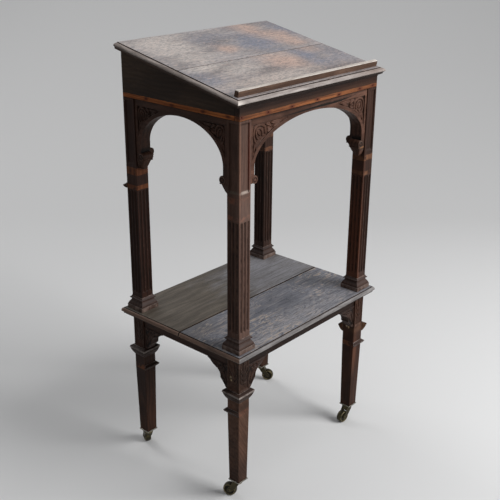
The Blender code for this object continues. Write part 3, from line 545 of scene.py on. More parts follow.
def soften(made, width):
    """Round the sharp edges over a small width."""
    sharp = [edge for edge in made.edges
             if len(edge.link_faces) == 2 and edge.calc_face_angle() > ROUNDED_EDGE]
    bmesh.ops.bevel(made, geom=sharp, offset=width, segments=2, profile=0.5, affect="EDGES",
                    clamp_overlap=True)
    return made


def eased(made, width):
    """Rounded edges, and a narrow border inside each large face, so that worn edges stay narrow."""
    soften(made, width)
    large = [face for face in made.faces if face.calc_area() > LARGE_FACE]
    bmesh.ops.inset_individual(made, faces=large, thickness=FACE_BORDER, depth=0)
    return made


def roughen(made, amount, scale):
    """Let the surface wander a little, as hand work and long use leave it."""
    made.normal_update()
    moves = [vertex.normal * (noise.noise(vertex.co * scale) * amount) for vertex in made.verts]
    for vertex, move in zip(made.verts, moves):
        vertex.co += move
    return made


def edge_wear(made):
    """How exposed each vertex is: 1 on a sharp edge, -1 in a sharp hollow, 0 on a face."""
    span = WEAR_FULL - WEAR_START
    levels = []
    for vertex in made.verts:
        turns = [edge.calc_face_angle_signed() for edge in vertex.link_edges if len(edge.link_faces) == 2]
        out = min(max((max(turns, default=0) - WEAR_START) / span, 0), 1)
        hollow = min(max((-min(turns, default=0) - WEAR_START) / span, 0), 1)
        levels.append(out - hollow)
    return levels


def piece(name, made, finish, node, body="frame", move=None, relief=None, trims=(), calm=()):
    """A named piece in place of a CAD node, with its edges' wear kept as an attribute.

    Trims are further finishes with a test for the faces that take them; around calm points nothing is worn.
    """
    made.normal_update()
    for index, (_, test) in enumerate(trims):
        for face in made.faces:
            if test(face):
                face.material_index = index + 1
    if move is not None:
        bmesh.ops.transform(made, matrix=move, verts=made.verts)
    made.normal_update()
    made.verts.index_update()
    levels = edge_wear(made)
    for index, level in (relief or {}).items():
        levels[index] = level
    for point in calm:
        for vertex in made.verts:
            if (vertex.co - Vector(point)).length < CALM_REACH:
                levels[vertex.index] = 0.0
    mesh = mesh_of(name, made)
    mesh.attributes.new("wear", "FLOAT", "POINT").data.foreach_set("value", levels)
    mesh.shade_smooth()
    mesh.set_sharp_from_angle(angle=SHARP_EDGE)
    for used in [finish] + [trim for trim, _ in trims]:
        mesh.materials.append(FINISHES[used])
    shown = show(name, mesh)
    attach(shown, body)
    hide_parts(node)


def ring_faces(rings, count, closed_round=True, closed_along=False):
    """Quads between rings of equal count whose points lie one ring after another."""
    faces = []
    for low in range(rings if closed_along else rings - 1):
        high = (low + 1) % rings
        for side in range(count if closed_round else count - 1):
            ahead = (side + 1) % count
            faces.append((low * count + side, low * count + ahead, high * count + ahead, high * count + side))
    return faces


def loft(rings, closed_along=False):
    """Equal rings joined in order, capped at both ends or closed into a loop."""
    count = len(rings[0])
    points = [point for ring in rings for point in ring]
    faces = ring_faces(len(rings), count, True, closed_along)
    if not closed_along:
        faces += [tuple(range(count)), tuple(range(len(points) - count, len(points)))]
    return shape(points, faces)


def block(x_ends, y_ends, z_ends):
    """A box between two values on each axis."""
    left, right = x_ends
    near, far = y_ends
    return loft([[(left, near, z), (right, near, z), (right, far, z), (left, far, z)] for z in z_ends])


def drawn_along(outline, x_ends):
    """An outline of depths and heights drawn out between two values of X."""
    return loft([[(x, y, z) for y, z in outline] for x in x_ends])


def even(start, end, count):
    """Evenly spread values from start up to just before end."""
    return [start + (end - start) * step / count for step in range(count)]


def arc(centre, radius, start, end, steps):
    """Points along a circular arc, both ends included."""
    turns = [start + (end - start) * step / steps for step in range(steps + 1)]
    return [(centre[0] + radius * math.cos(turn), centre[1] + radius * math.sin(turn)) for turn in turns]


def bowed(start, end, bulge, steps):
    """Points from start to just before end along a shallow bow to the right of the line."""
    run = (end[0] - start[0], end[1] - start[1])
    length = math.hypot(*run)
    points = []
    for share in even(0, 1, steps):
        rise = 4 * bulge * share * (1 - share) / length
        points.append((start[0] + run[0] * share + run[1] * rise, start[1] + run[1] * share - run[0] * rise))
    return points


def turned(quarter, x, y, z):
    """Some quarter turns about Z followed by a move."""
    return Matrix.Translation((x, y, z)) @ Matrix.Rotation(quarter * QUARTER, 4, "Z")


def at_corner(corner, level, quarter=0):
    """Some quarter turns about Z followed by a move to a corner's post or leg."""
    sx, sy, _ = CORNERS[corner]
    return turned(quarter, sx * POST_X, sy * POST_Y, level)


# Boards with a moulded edge

NOSE_QUIRK = 0.0022
NOSE_FILLET = 0.0018
NOSE_SETBACK = 0.0055
PLAIN_EASE = 1.8
JOINT_REACH = 0.0012
EDGE_REACH = 0.0006
QUIRK_REACH = 0.0008
FINE_WANDER = (0.00024, 40.0)
SLOW_WANDER = (0.00036, 9.0)
SLOPE_EDGE = (SLOPE_THICKNESS, 0.0125, 0.0094)
SLOPE_OVERHANG = 0.008
SLOPE_SPLIT = 0.208
SLOPE_JOINT = 0.0008
SLOPE_BEFORE = 0.003
SLOPE_BEHIND = 0.002
STOP_NEAR = 0.009
STOP_FAR = STOP_NEAR + 0.013
STOP_HEIGHT = 0.0162
STOP_ROUND = 0.0028
STOP_ROUND_LEAST = 0.0006
STOP_END = [(0.2885, 0), (0.2897, 0.0010), (0.2900, 0.0022)]
SHELF_EDGE = (SHELF_THICKNESS, 0.0065, 0.0070)
SHELF_OVERHANG = 0.018
SHELF_JOINT = (-0.007, -0.003)


def edge_profile(thickness, nose, undercut):
    """A thumbnail edge over a small hollow, as reach outwards and height, from the underside up."""
    span = thickness - undercut - NOSE_QUIRK
    low = undercut - thickness
    root = nose - NOSE_SETBACK
    points = [(root - 0.004, -thickness), (root, -thickness)]
    points += bowed((root, -thickness + 0.0006), (nose - 0.0004, low - 0.0006), -0.0010, 5)
    for step in range(11):
        turn = QUARTER * step / 10
        points.append((NOSE_FILLET + (nose - NOSE_FILLET) * math.cos(turn), low + span * math.sin(turn)))
    points += [(0.0004, -NOSE_QUIRK), (0.0, -NOSE_QUIRK + 0.0005), (-0.0003, -0.0004), (-0.0012, 0)]
    return points + [(-0.004, 0)]


def moulded_board(profile, half_x, near, far, moulded_near, moulded_far):
    """A board moulded at both ends, and along its near or far edge where asked."""
    rings = []
    for reach, height in profile:
        inner = PLAIN_EASE * min(reach, 0.0)
        front = near - (reach if moulded_near else inner)
        rear = far + (reach if moulded_far else inner)
        side = half_x + reach
        loop = [(x, front, height) for x in even(-side, side, 60)]
        loop += [(side, y, height) for y in even(front, rear, 24)]
        loop += [(x, rear, height) for x in even(side, -side, 60)]
        loop += [(-side, y, height) for y in even(rear, front, 24)]
        rings.append(loop)
    return roughen(roughen(loft(rings), *FINE_WANDER), *SLOW_WANDER)


def board_trims(half_x, near, far, moulded_near, front, side, widest):
    """Which faces of a board take the finishes of its long edge, its ends, its joint and its undercut; the
    dark joint and undercut finishes are painted shade.
    """
    plain = far if moulded_near else near
    moulded = near if moulded_near else far

    def on_joint(face):
        return abs(face.calc_center_median().y - plain) < JOINT_REACH

    def reaches(face):
        middle = face.calc_center_median()
        return abs(middle.x) - half_x, middle.y * math.copysign(1, moulded) - abs(moulded)

    def on_end(face):
        sideways, forward = reaches(face)
        return sideways > -EDGE_REACH and sideways >= forward and not on_joint(face)

    def on_front(face):
        sideways, forward = reaches(face)
        return forward > -EDGE_REACH and forward > sideways

    def on_quirk(face):
        return (on_end(face) or on_front(face)) and -QUIRK_REACH < max(reaches(face)) < NOSE_FILLET

    def below(test):
        return lambda face: test(face) and face.calc_center_median().z < widest

    # The joint finish on the gap and the quirk paints their shade; the undercut finishes paint the shade
    # under the nose
    return [(front, on_front), (side, on_end), ("joint", on_joint), ("joint", on_quirk),
            ("undercut", below(on_front)), ("undercut_side", below(on_end))]


def lay_board(name, node, edge, half_x, near, far, moulded, edges, move):
    """A board of the top or the shelf; moulded says for its near and its far edge if it has the moulding."""
    thickness, _, undercut = edge
    made = moulded_board(edge_profile(*edge), half_x, near, far, *moulded)
    trims = board_trims(half_x, near, far, moulded[0], *edges, undercut - thickness)
    piece(name, made, name, node, move=move, trims=trims)


def slope_height(y, above=0.0):
    """Height of the top face of the slope at a depth y, or of a plane that far above it."""
    rise = (y + CASE_Y) * math.tan(SLOPE)
    return CASE_Z + CASE_FRONT_HEIGHT + rise + (SEAT + SLOPE_THICKNESS + above) / math.cos(SLOPE)


def book_stop():
    """The ledge that holds a book, rounded along its top; also says which of its points lie on the board."""
    rings = []
    stations = [(-x, shrink) for x, shrink in reversed(STOP_END)]
    stations += [(x, 0) for x in even(-0.275, 0.28, 37)] + STOP_END
    for x, shrink in stations:
        ring = [(x, STOP_NEAR + shrink, SEAT), (x, STOP_FAR - shrink, SEAT)]
        rounding = max(STOP_ROUND - shrink, STOP_ROUND_LEAST)
        for across, quarter in ((STOP_FAR - STOP_ROUND, 0), (STOP_NEAR + STOP_ROUND, 1)):
            for out, rise in arc((0, 0), rounding, quarter * QUARTER, (quarter + 1) * QUARTER, 6):
                ring.append((x, across + out, STOP_HEIGHT - STOP_ROUND + rise))
        rings.append(ring)
    under = [ring * len(rings[0]) + corner for ring in range(len(rings)) for corner in (0, 1)]
    return roughen(roughen(loft(rings), 0.0004, 12.0), 0.0002, 60.0), under


def make_slope():
    """The two boards of the sloping top, and the book stop."""
    half_x = CASE_X + SLOPE_OVERHANG
    front = -CASE_Y - SLOPE_BEFORE
    depth = (CASE_Y + SLOPE_BEHIND - front) / math.cos(SLOPE)
    edges = ("slope_front", "slope_side")
    tilt = Matrix.Translation((0, front, slope_height(front))) @ Matrix.Rotation(SLOPE, 4, "X")
    up = tilt @ Matrix.Translation((0, SLOPE_SPLIT, 0))
    lay_board("slope_lower", "slope_board_lower", SLOPE_EDGE, half_x, -SLOPE_SPLIT, 0,
              (True, False), edges, up)
    lay_board("slope_upper", "slope_board_upper", SLOPE_EDGE, half_x, SLOPE_JOINT, depth - SLOPE_SPLIT,
              (False, False), edges, up)
    stop, under = book_stop()
    piece("ledge", stop, "stop", "book_stop", move=tilt, relief=dict.fromkeys(under, 0.0),
          trims=[("stop_top", lambda face: face.normal.z > 0.6)])


def make_shelf():
    """Two shelf boards with a gap between them, moulded round the outside."""
    half_x = CASE_X + SHELF_OVERHANG
    half_y = CASE_Y + SHELF_OVERHANG
    edges = ("nose", "nose_side")
    lift = Matrix.Translation((0, 0, SHELF_TOP))
    lay_board("shelf_front", "shelf_board_front", SHELF_EDGE, half_x, -half_y, SHELF_JOINT[0],
              (True, False), edges, lift)
    lay_board("shelf_rear", "shelf_board_rear", SHELF_EDGE, half_x, SHELF_JOINT[1], half_y,
              (False, True), edges, lift)


# Desk case

NAIL_RADIUS = 0.0015
NAIL_RINGS = ((-0.001, 1.25), (0.0008, 0.95), (0.004, 0.6))
CASE_ROUND = 0.0010
BACK_ROUND = 0.0008
FLOOR_ROUND = 0.0006
COVE_SIZE = 0.0065


def cut(made, tools):
    """What is left of a solid after each tool is cut from it."""
    objects = [show("cut", mesh_of("cut", solid)) for solid in [made] + tools]
    for tool in objects[1:]:
        step = objects[0].modifiers.new("cut", "BOOLEAN")
        step.operation = "DIFFERENCE"
        step.solver = "EXACT"
        step.object = tool
    evaluated = objects[0].evaluated_get(bpy.context.evaluated_depsgraph_get())
    result = bmesh.new()
    result.from_mesh(evaluated.to_mesh())
    evaluated.to_mesh_clear()
    for spent in objects:
        mesh = spent.data
        bpy.data.objects.remove(spent)
        bpy.data.meshes.remove(mesh)
    return result


def nail_hole(point, inward):
    """A ragged little pit left by a nail, wider along the strip than across it."""
    middle = Vector(point)
    deep = Vector(inward)
    across = deep.cross(Vector((0, 0, 1)))
    rings = []
    for depth, size in NAIL_RINGS:
        ring = []
        for turn in even(0, 2 * math.pi, 10):
            ragged = 1 + 0.25 * noise.noise(middle * 90 + Vector((turn, depth * 300, 0)))
            out = NAIL_RADIUS * size * ragged
            sideways = across * (1.7 * out * math.cos(turn))
            ring.append(middle + deep * depth + sideways + Vector((0, 0, out * math.sin(turn))))
        rings.append(ring)
    return loft(rings)


def wedge(front, rear, sides, width):
    """A board of the case with eased edges, between two depths and two sides, its top cut to the slope."""
    top = [slope_height(y, -SLOPE_THICKNESS - SEAT) for y in (front, rear)]
    outline = [(front, CASE_Z), (rear, CASE_Z), (rear, top[1]), (front, top[0])]
    return eased(drawn_along(outline, sides), width)


def nailed(board, pits, inward):
    """A board with a nail hole at each pit."""
    return cut(board, [nail_hole(pit, inward) for pit in pits])


def cove():
    """A small hollow moulding under the overhang of the top, mitred round three sides."""
    profile = [(SEAT, SEAT), (COVE_SIZE, SEAT)]
    profile += arc((COVE_SIZE, COVE_SIZE), COVE_SIZE - 2 * SEAT, -QUARTER, -math.pi, 10) + [(SEAT, COVE_SIZE)]
    stations = [(-1, y) for y in even(CASE_Y, -CASE_Y, 20)] + [(x, -CASE_Y) for x in even(-1, 1, 24)]
    stations += [(1, y) for y in even(-CASE_Y, CASE_Y, 20)] + [(1, CASE_Y)]
    rings = []
    for share, y in stations:
        ring = []
        for out, drop in profile:
            depth = -CASE_Y - out if y == -CASE_Y else y
            ring.append((share * (CASE_X + out), depth, slope_height(depth, -SLOPE_THICKNESS - drop)))
        rings.append(ring)
    return roughen(loft(rings), 0.0002, 60.0)


def make_case():
    """The desk case, with nail holes along its bare strip, and the cove under the overhang of the top."""
    inner_x = CASE_X - CASE_BOARD - SEAT
    inner_front = CASE_BOARD - CASE_Y
    near = inner_front + SEAT
    far = CASE_Y - CASE_BOARD - SEAT
    pits = [(x, -CASE_Y, STRIP_MIDDLE + rise) for x, rise in FRONT_NAILS]
    rail = nailed(wedge(-CASE_Y, inner_front, (-CASE_X, CASE_X), CASE_ROUND), pits, (0, 1, 0))
    piece("case_front", rail, "case_front", "desk_front_rail", calm=pits)
    for way, side in (("left", -1), ("right", 1)):
        pits = [(side * CASE_X, y, STRIP_MIDDLE + rise) for y, rise in SIDE_NAILS]
        board = wedge(near, CASE_Y, (side * CASE_X, side * (CASE_X - CASE_BOARD)), CASE_ROUND)
        board = nailed(board, pits, (-side, 0, 0))
        piece("case_side_" + way, board, "case_side", "desk_side_" + way, calm=pits)
    back = wedge(CASE_Y - CASE_BOARD, CASE_Y, (-inner_x, inner_x), BACK_ROUND)
    piece("case_back", back, "case_front", "desk_back_board")
    floor = block((-inner_x, inner_x), (near, far), (CASE_Z, CASE_Z + CASE_FLOOR))
    piece("case_floor", eased(floor, FLOOR_ROUND), "rail", "desk_bottom_board")
    piece("cove", cove(), "cove", "bed_moulding")


# Square posts and legs

ROUND = 0.0011
ROUND_SHARE = 0.29
FACE_TURNS = ((1, 0), (0, 1), (-1, 0), (0, -1))
FLUTE_START = 0.054
FLUTE_END = 0.363
FLUTE_RUNOUT = 0.006
FLUTE_WIDTH = 0.0092
FLUTE_DEPTH = 0.0032
FLUTE_PITCH = 0.0122
FLUTE_STEPS = 8
HOLLOW_GRIME = 0.5
PANEL_GRIME = 0.05
PANEL_START = 0.4375
PANEL_SILL = 0.006
PANEL_HALF = 0.0145
PANEL_LIP = 0.0008
PANEL_DEPTH = 0.003
PANEL_SPLAY = 0.0015
PANEL_TOP = POST_LENGTH - 0.006
OUTER_FACES = (0, 3)
BASE_WANDER = (0.0003, 50.0)


def square_ring(rows, half, level):
    """A ring round a square post with rounded corners, from a row of places along and out for each face."""
    corner = (half - ROUND_SHARE * ROUND, ROUND_SHARE * ROUND - half)
    ring = []
    for (cos, sin), row in zip(FACE_TURNS, rows):
        ring += [(cos * a - sin * b, sin * a + cos * b, level) for a, b in row + [corner]]
    return ring


def square_column(levels, half_at, inward, offsets):
    """A square post from rings: each face is a row of offsets, set in from the face by a function."""
    rings = []
    for level in levels:
        half = half_at(level)
        rows = [[(along, inward(face, along, level) - half) for along in offsets(face, level, half)]
                for face in range(4)]
        rings.append(square_ring(rows, half, level))
    return loft(rings)


def flute_depth(along, level):
    """How deep the flutes are cut at a place on a face."""
    nearest = min((-1, 0, 1), key=lambda flute: abs(along - flute * FLUTE_PITCH))
    share = 2 * abs(along - nearest * FLUTE_PITCH) / FLUTE_WIDTH
    ends = min(level - FLUTE_START, FLUTE_END - level) / FLUTE_RUNOUT
    if share >= 1 or ends <= 0:
        return 0.0
    full = math.sqrt(1 - (1 - min(ends, 1)) ** 2)
    return FLUTE_DEPTH * full * (1 - share * share) ** 0.75


def panel_depth(along, level):
    """How deep the panel is sunk at a place on a face."""
    side = (PANEL_HALF - abs(along)) / PANEL_SPLAY
    sill = (level - PANEL_START) / PANEL_SILL
    head = (PANEL_TOP - level) / PANEL_SPLAY
    return PANEL_DEPTH * min(max(min(side, sill, head), 0), 1)


def post_cut(face, along, level):
    """How deep a post is cut at a place on a face: the panel above on its outer faces, flutes below."""
    if face in OUTER_FACES and level >= PANEL_START:
        return panel_depth(along, level)
    return flute_depth(along, level)


def post_offsets(face, level, half):
    """Where the points of a face lie: on the flutes below, on the panel's edges above."""
    edge = half - ROUND
    if level > (FLUTE_END + PANEL_START) / 2 and face in OUTER_FACES:
        ground = PANEL_HALF - PANEL_SPLAY
        right = [ground, PANEL_HALF, PANEL_HALF + PANEL_LIP, edge]
        return [-place for place in reversed(right)] + even(-ground, ground, 22)[1:] + right
    shares = [2 * step / FLUTE_STEPS - 1 for step in range(FLUTE_STEPS + 1)]
    rows = [flute * FLUTE_PITCH + share * FLUTE_WIDTH / 2 for flute in (-1, 0, 1) for share in shares]
    return [-edge] + rows + [edge]


def post_levels():
    """Levels of a post's rings: close together where the flutes run out and at the panel's sill and head."""
    runout = [FLUTE_START + FLUTE_RUNOUT * share for share in (0, 0.04, 0.15, 0.35, 0.65, 1)]
    levels = [0, 0.002] + runout + even(0.075, 0.345, 14)
    levels += [FLUTE_START + FLUTE_END - level for level in runout[::-1]] + [0.380, 0.410]
    levels += [PANEL_START + rise for rise in (-0.001, 0, 0.002, 0.004, PANEL_SILL)]
    levels += even(PANEL_START + 0.012, PANEL_TOP - 0.008, 8)
    head = PANEL_TOP - PANEL_SPLAY
    return levels + [head - 0.0014, head, PANEL_TOP, PANEL_TOP + 0.001, POST_LENGTH]


def post_hollows(levels):
    """Grime in the flutes and panels, by the index of a post's points."""
    places = [(face, along, level) for level in levels for face in range(4)
              for along in post_offsets(face, level, POST_HALF) + [None]]
    hollows = {}
    for index, (face, along, level) in enumerate(places):
        depth = post_cut(face, along, level) if along is not None else 0
        if level < FLUTE_END and depth > 0.3 * FLUTE_DEPTH:
            hollows[index] = -HOLLOW_GRIME * depth / FLUTE_DEPTH
        elif level > PANEL_START and depth > 0.8 * PANEL_DEPTH:
            hollows[index] = -PANEL_GRIME
    return hollows


def make_posts():
    """Fluted and panelled posts on moulded bases."""
    levels = post_levels()
    hollows = post_hollows(levels)
    for corner, (_, _, quarter) in CORNERS.items():
        post = square_column(levels, lambda level: POST_HALF, post_cut, post_offsets)
        piece("fluted_post_" + corner, post, "post_" + corner, "post_" + corner,
              move=at_corner(corner, POST_Z, quarter), relief=hollows)
        base = roughen(run_round(base_profile(), POST_HALF), *BASE_WANDER)
        piece("base_" + corner, base, "moulding", "post_base_" + corner,
              move=at_corner(corner, SHELF_TOP, quarter))


# Mouldings run round a post

BAND_HEIGHT = 0.0155
COLLAR_HEIGHT = 0.030
MOULDING_WANDER = (0.0003, 55.0)


def square_loop(half, level):
    """A square with rounded corners at a level."""
    edge = half - ROUND
    border = edge - FACE_BORDER
    row = [(along, -half) for along in [-edge] + even(-border, border, 4) + [border, edge]]
    return square_ring([row] * 4, half, level)


def run_round(profile, half):
    """A moulding all round a square post; its profile is out from the post and up, as a closed line."""
    return loft([square_loop(half + out, up) for out, up in profile], closed_along=True)


def run_along(profile, half, corners):
    """A moulding along some sides of a square post, mitred where it turns and where it ends."""
    stations = []
    for (sx, sy), (tx, ty) in zip(corners, corners[1:]):
        for share in [0, 0.04] + even(0.1, 0.9, 6) + [0.9, 0.96]:
            stations.append((sx + (tx - sx) * share, sy + (ty - sy) * share))
    stations.append(corners[-1])
    return loft([[(sx * (half + out), sy * (half + out), up) for out, up in profile] for sx, sy in stations])


def base_profile():
    """Plinth, ogee and bead of a post's base."""
    plinth = 0.0106
    neck = 0.0014
    low = 0.013
    high = 0.0305
    bead = 0.0058
    points = [(SEAT, SEAT), (plinth, SEAT), (plinth, low - 0.0008), (plinth - 0.0008, low)]
    for step in range(11):
        share = step / 10
        fall = (1 + math.cos(math.pi * share)) / 2
        points.append((neck + (plinth - neck - 0.0014) * fall, low + (high - low) * share))
    points += arc((bead - 0.002, high + 0.002), 0.002, -QUARTER, QUARTER, 8)
    return points + [(0.0026, 0.0358), (0.0006, 0.040), (SEAT, 0.040)]


def band_profile():
    """A small weathered band: sloping top, blunt nose, splayed underside."""
    splay = bowed((0.002, 0.0005), (0.008, 0.008), 0.0010, 5)
    weathering = bowed((0.0068, 0.0104), (SEAT, BAND_HEIGHT), -0.0005, 4)
    nose = [(0.008, 0.008), (0.008, 0.0095), (0.0074, 0.0101)]
    return [(SEAT, 0), (0.002, 0)] + splay + nose + weathering + [(SEAT, BAND_HEIGHT)]


def collar_profile():
    """A weathered top and a fascia over a long splay."""
    out = 0.0108
    edge = COLLAR_HEIGHT - 0.003
    splay = bowed((0.0006, 0.0), (out - 0.0012, edge - 0.0072), 0.0012, 8)
    fascia = [(out - 0.0012, edge - 0.0066), (out, edge - 0.006), (out, edge - 0.0008), (out - 0.0008, edge)]
    return [(SEAT, 0)] + splay + fascia + [(0.004, COLLAR_HEIGHT - 0.0008), (SEAT, COLLAR_HEIGHT)]


# Carving

LEAF_STEPS = 10
BAND_STEPS = 6
CURL_STEPS = 26
CURL_INNER = 0.18


def leaf(points, width, crest, vein=0.35):
    """A carved leaf along a bent spine."""
    return ("leaf", points, width, crest, vein)


def stem(points, width, crest):
    """A rounded stem that thins towards its end."""
    return ("stem", points, width, crest, 0.0)


def bent(start, middle, end):
    """A curve from start to end that is drawn towards a middle point."""
    points = []
    for step in range(LEAF_STEPS + 1):
        t = step / LEAF_STEPS
        points.append(tuple(one * (1 - t) ** 2 + 2 * two * t * (1 - t) + three * t * t
                            for one, two, three in zip(start, middle, end)))
    return points


def smoothed(points):
    """A soft curve through some points."""
    line = []
    ends = np.array([points[0], *points, points[-1]])
    for before, start, end, after in zip(ends, ends[1:], ends[2:], ends[3:]):
        for t in even(0, 1, BAND_STEPS):
            square = 2 * before - 5 * start + 4 * end - after
            cube = 3 * start - before - 3 * end + after
            line.append(tuple(0.5 * (2 * start + (end - before) * t + square * t * t + cube * t ** 3)))
    return line + [points[-1]]


def curl(centre, radius, start, turns):
    """A spiral that winds in to its centre."""
    points = []
    for step in range(CURL_STEPS + 1):
        t = step / CURL_STEPS
        reach = radius * (1 - (1 - CURL_INNER) * t)
        turn = start + turns * 2 * math.pi * t
        points.append((centre[0] + reach * math.cos(turn), centre[1] + reach * math.sin(turn)))
    return points


def carved(u, v, strokes):
    """Height of carved strokes over an array of places."""
    height = np.zeros_like(u)
    for kind, points, width, crest, vein in strokes:
        best = np.full(u.shape, 9.0)
        along = np.zeros_like(u)
        last = len(points) - 1
        for index in range(last):
            (x0, y0), (x1, y1) = points[index], points[index + 1]
            dx, dy = x1 - x0, y1 - y0
            share = np.clip(((u - x0) * dx + (v - y0) * dy) / max(dx * dx + dy * dy, 1e-12), 0, 1)
            away = np.hypot(u - x0 - share * dx, v - y0 - share * dy)
            along = np.where(away < best, (index + share) / last, along)
            best = np.minimum(best, away)
        if kind == "leaf":
            local = width * np.maximum(np.sin(math.pi * np.clip(along, 0.02, 0.985) ** 0.75), 0.08) ** 0.8
        else:
            local = width * (1 - 0.3 * along)
        across = best / local
        body = crest * np.clip(1 - across ** 4, 0, 1) ** 0.6
        body *= 1 - vein * np.exp(-(across / 0.22) ** 2) * (along < 0.93)
        height = np.maximum(height, body)
    return height


class Patch:
    """A field between two edges: s runs along both, t from the first edge to the second."""

    def __init__(self, first, second):
        self.first = np.array(first)
        self.second = np.array(second)
        self.shares = np.linspace(0, 1, len(first))

    def at(self, s, t):
        near = [np.interp(s, self.shares, self.first[:, axis]) for axis in (0, 1)]
        far = [np.interp(s, self.shares, self.second[:, axis]) for axis in (0, 1)]
        return tuple(near[axis] * (1 - t) + far[axis] * t for axis in (0, 1))

    def width(self, s):
        near = self.at(s, 0.0)
        far = self.at(s, 1.0)
        return math.hypot(near[0] - far[0], near[1] - far[1])

    def grid(self, rows):
        shares = np.linspace(0, 1, rows)[:, None]
        return self.first[None] * (1 - shares)[..., None] + self.second[None] * shares[..., None]


def resampled(points, count):
    """The same line with evenly spread points."""
    line = np.array(points)
    run = np.concatenate([[0], np.cumsum(np.hypot(*np.diff(line, axis=0).T))])
    spread = np.linspace(0, run[-1], count)
    return np.stack([np.interp(spread, run, line[:, axis]) for axis in (0, 1)], axis=1)


def inset(line, distance):
    """A closed outline moved inwards, whichever way round it runs."""
    points = np.array(line)
    ahead = np.roll(points, -1, axis=0) - points
    ahead /= np.maximum(np.linalg.norm(ahead, axis=1), 1e-9)[:, None]
    behind = np.roll(ahead, 1, axis=0)
    x, y = points.T
    area = np.sum(x * np.roll(y, -1) - np.roll(x, -1) * y)
    side = 1.0 if area > 0 else -1.0
    one = np.stack([-behind[:, 1], behind[:, 0]], axis=1)
    two = np.stack([-ahead[:, 1], ahead[:, 0]], axis=1)
    share = np.maximum(1 + np.sum(one * two, axis=1), 0.35)
    return points + (one + two) / share[:, None] * distance * side


def rim_of(rows, columns):
    """Rows and columns of the points round the border of a grid."""
    rim = [(0, k) for k in range(columns)] + [(k, columns - 1) for k in range(1, rows)]
    rim += [(rows - 1, k) for k in range(columns - 2, -1, -1)]
    return rim + [(k, 0) for k in range(rows - 2, 0, -1)]


def grid_faces(first, rows, columns):
    """Quads of a grid whose points start at an index and lie row after row."""
    corners = [first + row * columns + column for row in range(rows - 1) for column in range(columns - 1)]
    return [(low, low + 1, low + columns + 1, low + columns) for low in corners]


def skirts(loops):
    """Quads between each closed loop of points and the next."""
    faces = []
    for one, other in zip(loops, loops[1:]):
        for index in range(len(one)):
            ahead = (index + 1) % len(one)
            faces.append((one[index], one[ahead], other[ahead], other[index]))
    return faces


def layer(points, line, depth):
    """Add a line of points at a depth; returns their indices."""
    first = len(points)
    points.extend((float(x), depth, float(z)) for x, z in line)
    return list(range(first, len(points)))


def lay_field(points, levels, field, depths, wears):
    """Add the points of a carved field, row after row, each with its wear; returns the index of the first."""
    first = len(points)
    for (x, z), depth, wear in zip(field.reshape(-1, 2), depths.flat, wears.flat):
        levels[len(points)] = float(wear)
        points.append((float(x), float(depth), float(z)))
    return first


def fill(lines, indices):
    """Triangles that fill an outline, less any holes in it."""
    flat = [[(float(x), float(z), 0) for x, z in line] for line in lines]
    return [tuple(indices[corner] for corner in triangle) for triangle in tessellate_polygon(flat)]


def merge(made, other):
    """Join another shell to a mesh in the making."""
    mesh = mesh_of("shell", other)
    made.from_mesh(mesh)
    bpy.data.meshes.remove(mesh)


# Arched aprons

ARCH_THICKNESS = 0.034
ARCH_FRONT = 0.003 - POST_HALF
ARCH_REVEAL = 0.016
ARCH_CROWN_DROP = 0.020
ARCH_RISE = 0.1027
ARCH_SPRING = POST_LENGTH - ARCH_CROWN_DROP - ARCH_RISE
ARCHIVOLT = 0.010
SPANDREL_MARGIN = 0.009
SPANDREL_UPPER = POST_LENGTH - 0.0165
SPANDREL_TIP = 0.005
SPANDREL_SQUASH = 0.92
SPANDREL_WIDE = 0.132
SPANDREL_DEPTH = 0.004
SPANDREL_CREST = 0.0034
SPANDREL_FADE = 0.14
SPANDREL_ROWS = 44
SPANDREL_COLUMNS = 120
SPANDREL_VEIN = 0.22
ROLL_RADIUS = 0.0112
ROLL_OUT = 0.0132
ROLL_DROP = 0.1564
EYE_SHARE = 0.86
EYE_HEIGHT = 0.0018
EYE_PROFILE = ((1.0, -0.2), (0.98, 0.5), (0.90, 0.85), (0.78, 0.7), (0.66, 0.1), (0.48, 0.0), (0.40, 0.5),
               (0.22, 0.9), (0.05, 1.0))
CUP_HEIGHT = 0.0295
CUP_FOOT = 0.012
CUP_FOOT_WIDTH = 0.013
CUP_SETBACK = 0.0012
CUP_CORNER = 0.35
CUP_LIP = 0.0016
CUP_LIP_PROUD = 0.0004
CUP_LIP_LEVELS = (-0.0036, 0.0002)
RIM = 0.0009
CALM = 0.0012
# The eased edge of an apron or a spandrel: how far in from its line and how deep, from the face on
EASING = ((RIM + CALM, 0), (RIM, 0), (ROUND_SHARE * RIM, ROUND_SHARE * RIM), (0, RIM))
# Foliage, in millimetres from the outer upper corner of a wide spandrel, inwards and down, with widths
FOLIAGE_BANDS = (
    (((38, 33), (37, 22), (29, 14), (19, 15), (14, 24), (16, 35), (23, 43)), 0.0038),
    (((50, 29), (47, 14), (34, 5.5), (18, 5.5), (7.5, 14), (5.5, 29), (9, 44), (16, 53)), 0.0040),
)
FOLIAGE_LEAVES = (
    (((21, 18), (25, 25), (29, 35)), 0.0052),
    (((27, 41), (18, 53), (11, 63)), 0.0054),
    (((12, 50), (8, 62), (4.5, 76)), 0.0046),
    (((6, 72), (4.5, 80), (3.5, 88)), 0.0030),
    (((24, 55), (36, 45), (50, 37)), 0.0054),
    (((14, 69), (19, 61), (26, 53)), 0.0038),
    (((50, 6), (64, 5), (70, 18)), 0.0058),
    (((55, 27), (64, 27), (73, 19)), 0.0050),
    (((55, 17), (60, 20), (66, 17)), 0.0036),
    (((70, 6), (92, 9), (118, 5)), 0.0052),
    (((78, 19), (92, 15), (108, 10)), 0.0040),
)


def roll_centre(half):
    """Where the middle of an apron's right roll is."""
    return half - ARCH_REVEAL - ROLL_OUT + ROLL_RADIUS, POST_LENGTH - ROLL_DROP


